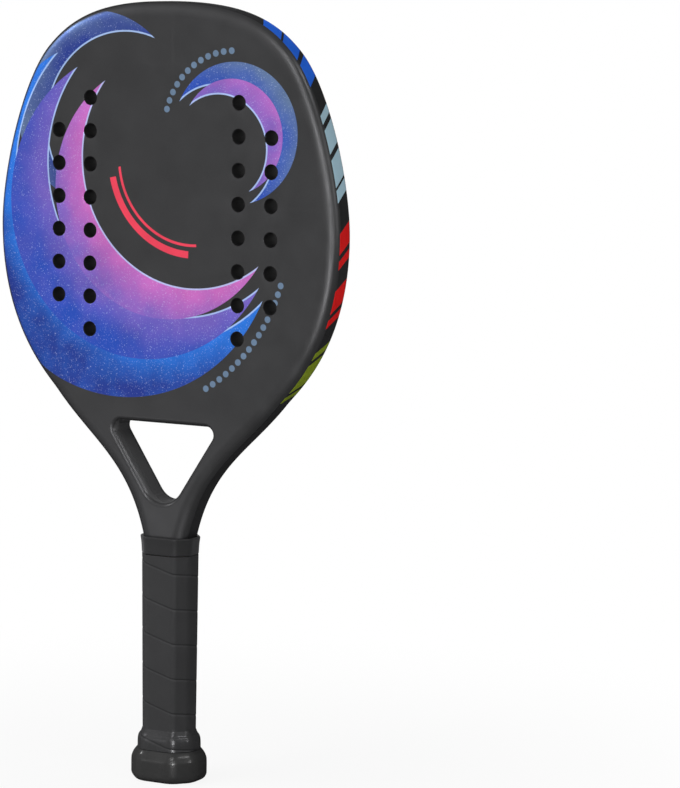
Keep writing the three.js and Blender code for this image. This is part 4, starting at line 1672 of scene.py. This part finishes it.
@dataclass
class Studio:
    """The camera, the soft lights and the pale floor.

    The floor's fade holds two distances from the racket, and the share of white at each.
    """

    azimuth: float = 27.931
    elevation: float = 7.097
    roll: float = 0.702
    distance: float = 2.1128
    target: tuple[float, float, float] = (0.1153, 0.0, 0.24453)
    lens: float = 163.92
    sensor: float = 36.0
    lamps: tuple[Lamp, ...] = (
        Lamp("softbox", -42.0, 38.0, 2.4, 2.0, 2.0, 66.0),
        Lamp("fill", 60.0, 32.0, 2.3, 1.2, 1.2, 14.0),
        Lamp("rear_left", 215.0, 35.0, 2.4, 1.1, 1.1, 16.0),
        Lamp("strip", 29.0, 5.0, 2.3, 0.55, 0.9, 68.0, highlight=True),
        Lamp("high_strip", 21.0, 37.0, 2.3, 0.5, 0.8, 36.0, highlight=True),
        Lamp("low_strip", 30.0, -13.0, 0.9, 0.14, 0.08, 4.5, highlight=True),
        Lamp("low_card", -31.0, -24.0, 0.385, 0.14, 0.08, 0.19, highlight=True),
        Lamp("left", -72.0, 32.0, 2.3, 0.22, 0.22, 32.0, highlight=True),
        Lamp("right_low", 82.0, 12.0, 2.3, 0.22, 0.16, 28.0, highlight=True),
        Lamp("right_high", 82.0, 42.0, 2.3, 0.22, 0.16, 28.0, highlight=True),
    )
    floor_reach: float = 30.0
    floor_pale: float = 0.5
    floor_fade: tuple[float, ...] = (0.05, 0.5, 0.9, 1.0)
    world_strength: float = 0.2

    def build(self) -> None:
        """Builds the whole studio."""
        self.camera()
        for lamp in self.lamps:
            lamp.hang()
        self.floor()
        self.world()
        bpy.context.scene.view_settings.view_transform = "Standard"

    def camera(self) -> None:
        """Sets the camera at the viewing angle."""
        turn, roll = math.radians(self.azimuth), math.radians(self.roll)
        back = bearing(self.azimuth, self.elevation)
        right = Vector((math.cos(turn), math.sin(turn), 0.0))
        up = back.cross(right)
        across = right * math.cos(roll) + up * math.sin(roll)
        over = up * math.cos(roll) - right * math.sin(roll)
        lens = bpy.data.cameras.new("view")
        lens.lens = self.lens
        lens.sensor_width = self.sensor
        lens.clip_start = 0.1
        lens.clip_end = 100.0
        camera = bpy.data.objects.new("view", lens)
        place = Matrix((across, over, back)).transposed().to_4x4()
        place.translation = Vector(self.target) + back * self.distance
        camera.matrix_world = place
        bpy.context.scene.collection.objects.link(camera)
        bpy.context.scene.camera = camera

    def seen_directly(self, pen: Pen) -> Socket:
        """Tells where the camera looks, also by a reflection or through something clear."""
        path = pen.node("ShaderNodeLightPath").outputs
        seen = pen.math("MAXIMUM", path["Is Camera Ray"], path["Is Glossy Ray"])
        return pen.math("MAXIMUM", seen, path["Is Transmission Ray"])

    def floor(self) -> None:
        """Lays the pale floor, which fades to white away from the racket and keeps its shadow."""
        mesh = bpy.data.meshes.new("floor")
        reach = self.floor_reach
        signs = ((-1, -1), (1, -1), (1, 1), (-1, 1))
        mesh.from_pydata([(x * reach, y * reach, 0.0) for x, y in signs], [], [(0, 1, 2, 3)])
        finish = bpy.data.materials.new("pale_floor")
        pen = with_nodes(finish)
        color = (self.floor_pale, self.floor_pale, self.floor_pale, 1.0)
        pale = pen.node("ShaderNodeBsdfDiffuse", {"Color": color}).outputs[0]
        white = pen.node("ShaderNodeEmission").outputs[0]
        place = pen.node("ShaderNodeTexCoord").outputs["Object"]
        far = pen.ramp(pen.vector("LENGTH", place), *self.floor_fade)
        share = pen.math("MULTIPLY", far, self.seen_directly(pen))
        mixed = pen.node("ShaderNodeMixShader", {0: share, 1: pale, 2: white})
        pen.node("ShaderNodeOutputMaterial", {"Surface": mixed.outputs[0]})
        mesh.materials.append(finish)
        floor = bpy.data.objects.new("floor", mesh)
        bpy.context.scene.collection.objects.link(floor)

    def world(self) -> None:
        """Lights the racket evenly from all round, with a white background."""
        world = bpy.data.worlds.new("studio")
        pen = with_nodes(world)
        light, white = (
            pen.node("ShaderNodeBackground", {"Color": WHITE, "Strength": strength}).outputs[0]
            for strength in (self.world_strength, 1.0)
        )
        mixed = pen.node("ShaderNodeMixShader", {0: self.seen_directly(pen), 1: light, 2: white})
        pen.node("ShaderNodeOutputWorld", {"Surface": mixed.outputs[0]})
        bpy.context.scene.world = world


def corners(bounds: tuple[Vector, Vector]) -> list[list[float]]:
    """A box as plain lists."""
    return [list(corner) for corner in bounds]


def main() -> None:
    """Builds the racket and its studio."""
    logging.basicConfig(level=logging.INFO, format="%(message)s")
    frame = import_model()
    Studio().build()
    head, handle = Head(), Handle()
    pieces = [head.face(Side.FRONT), head.face(Side.BACK), head.frame(), head.core(), head.bores()]
    pieces += [handle.tape(), handle.sleeve(), handle.cap()]
    handle.dress_pallets(frame["nodes"])
    LOG.info("%d new pieces ride on %s", len(pieces), BODY)
    bpy.context.view_layer.update()


if __name__ == "__main__":
    main()
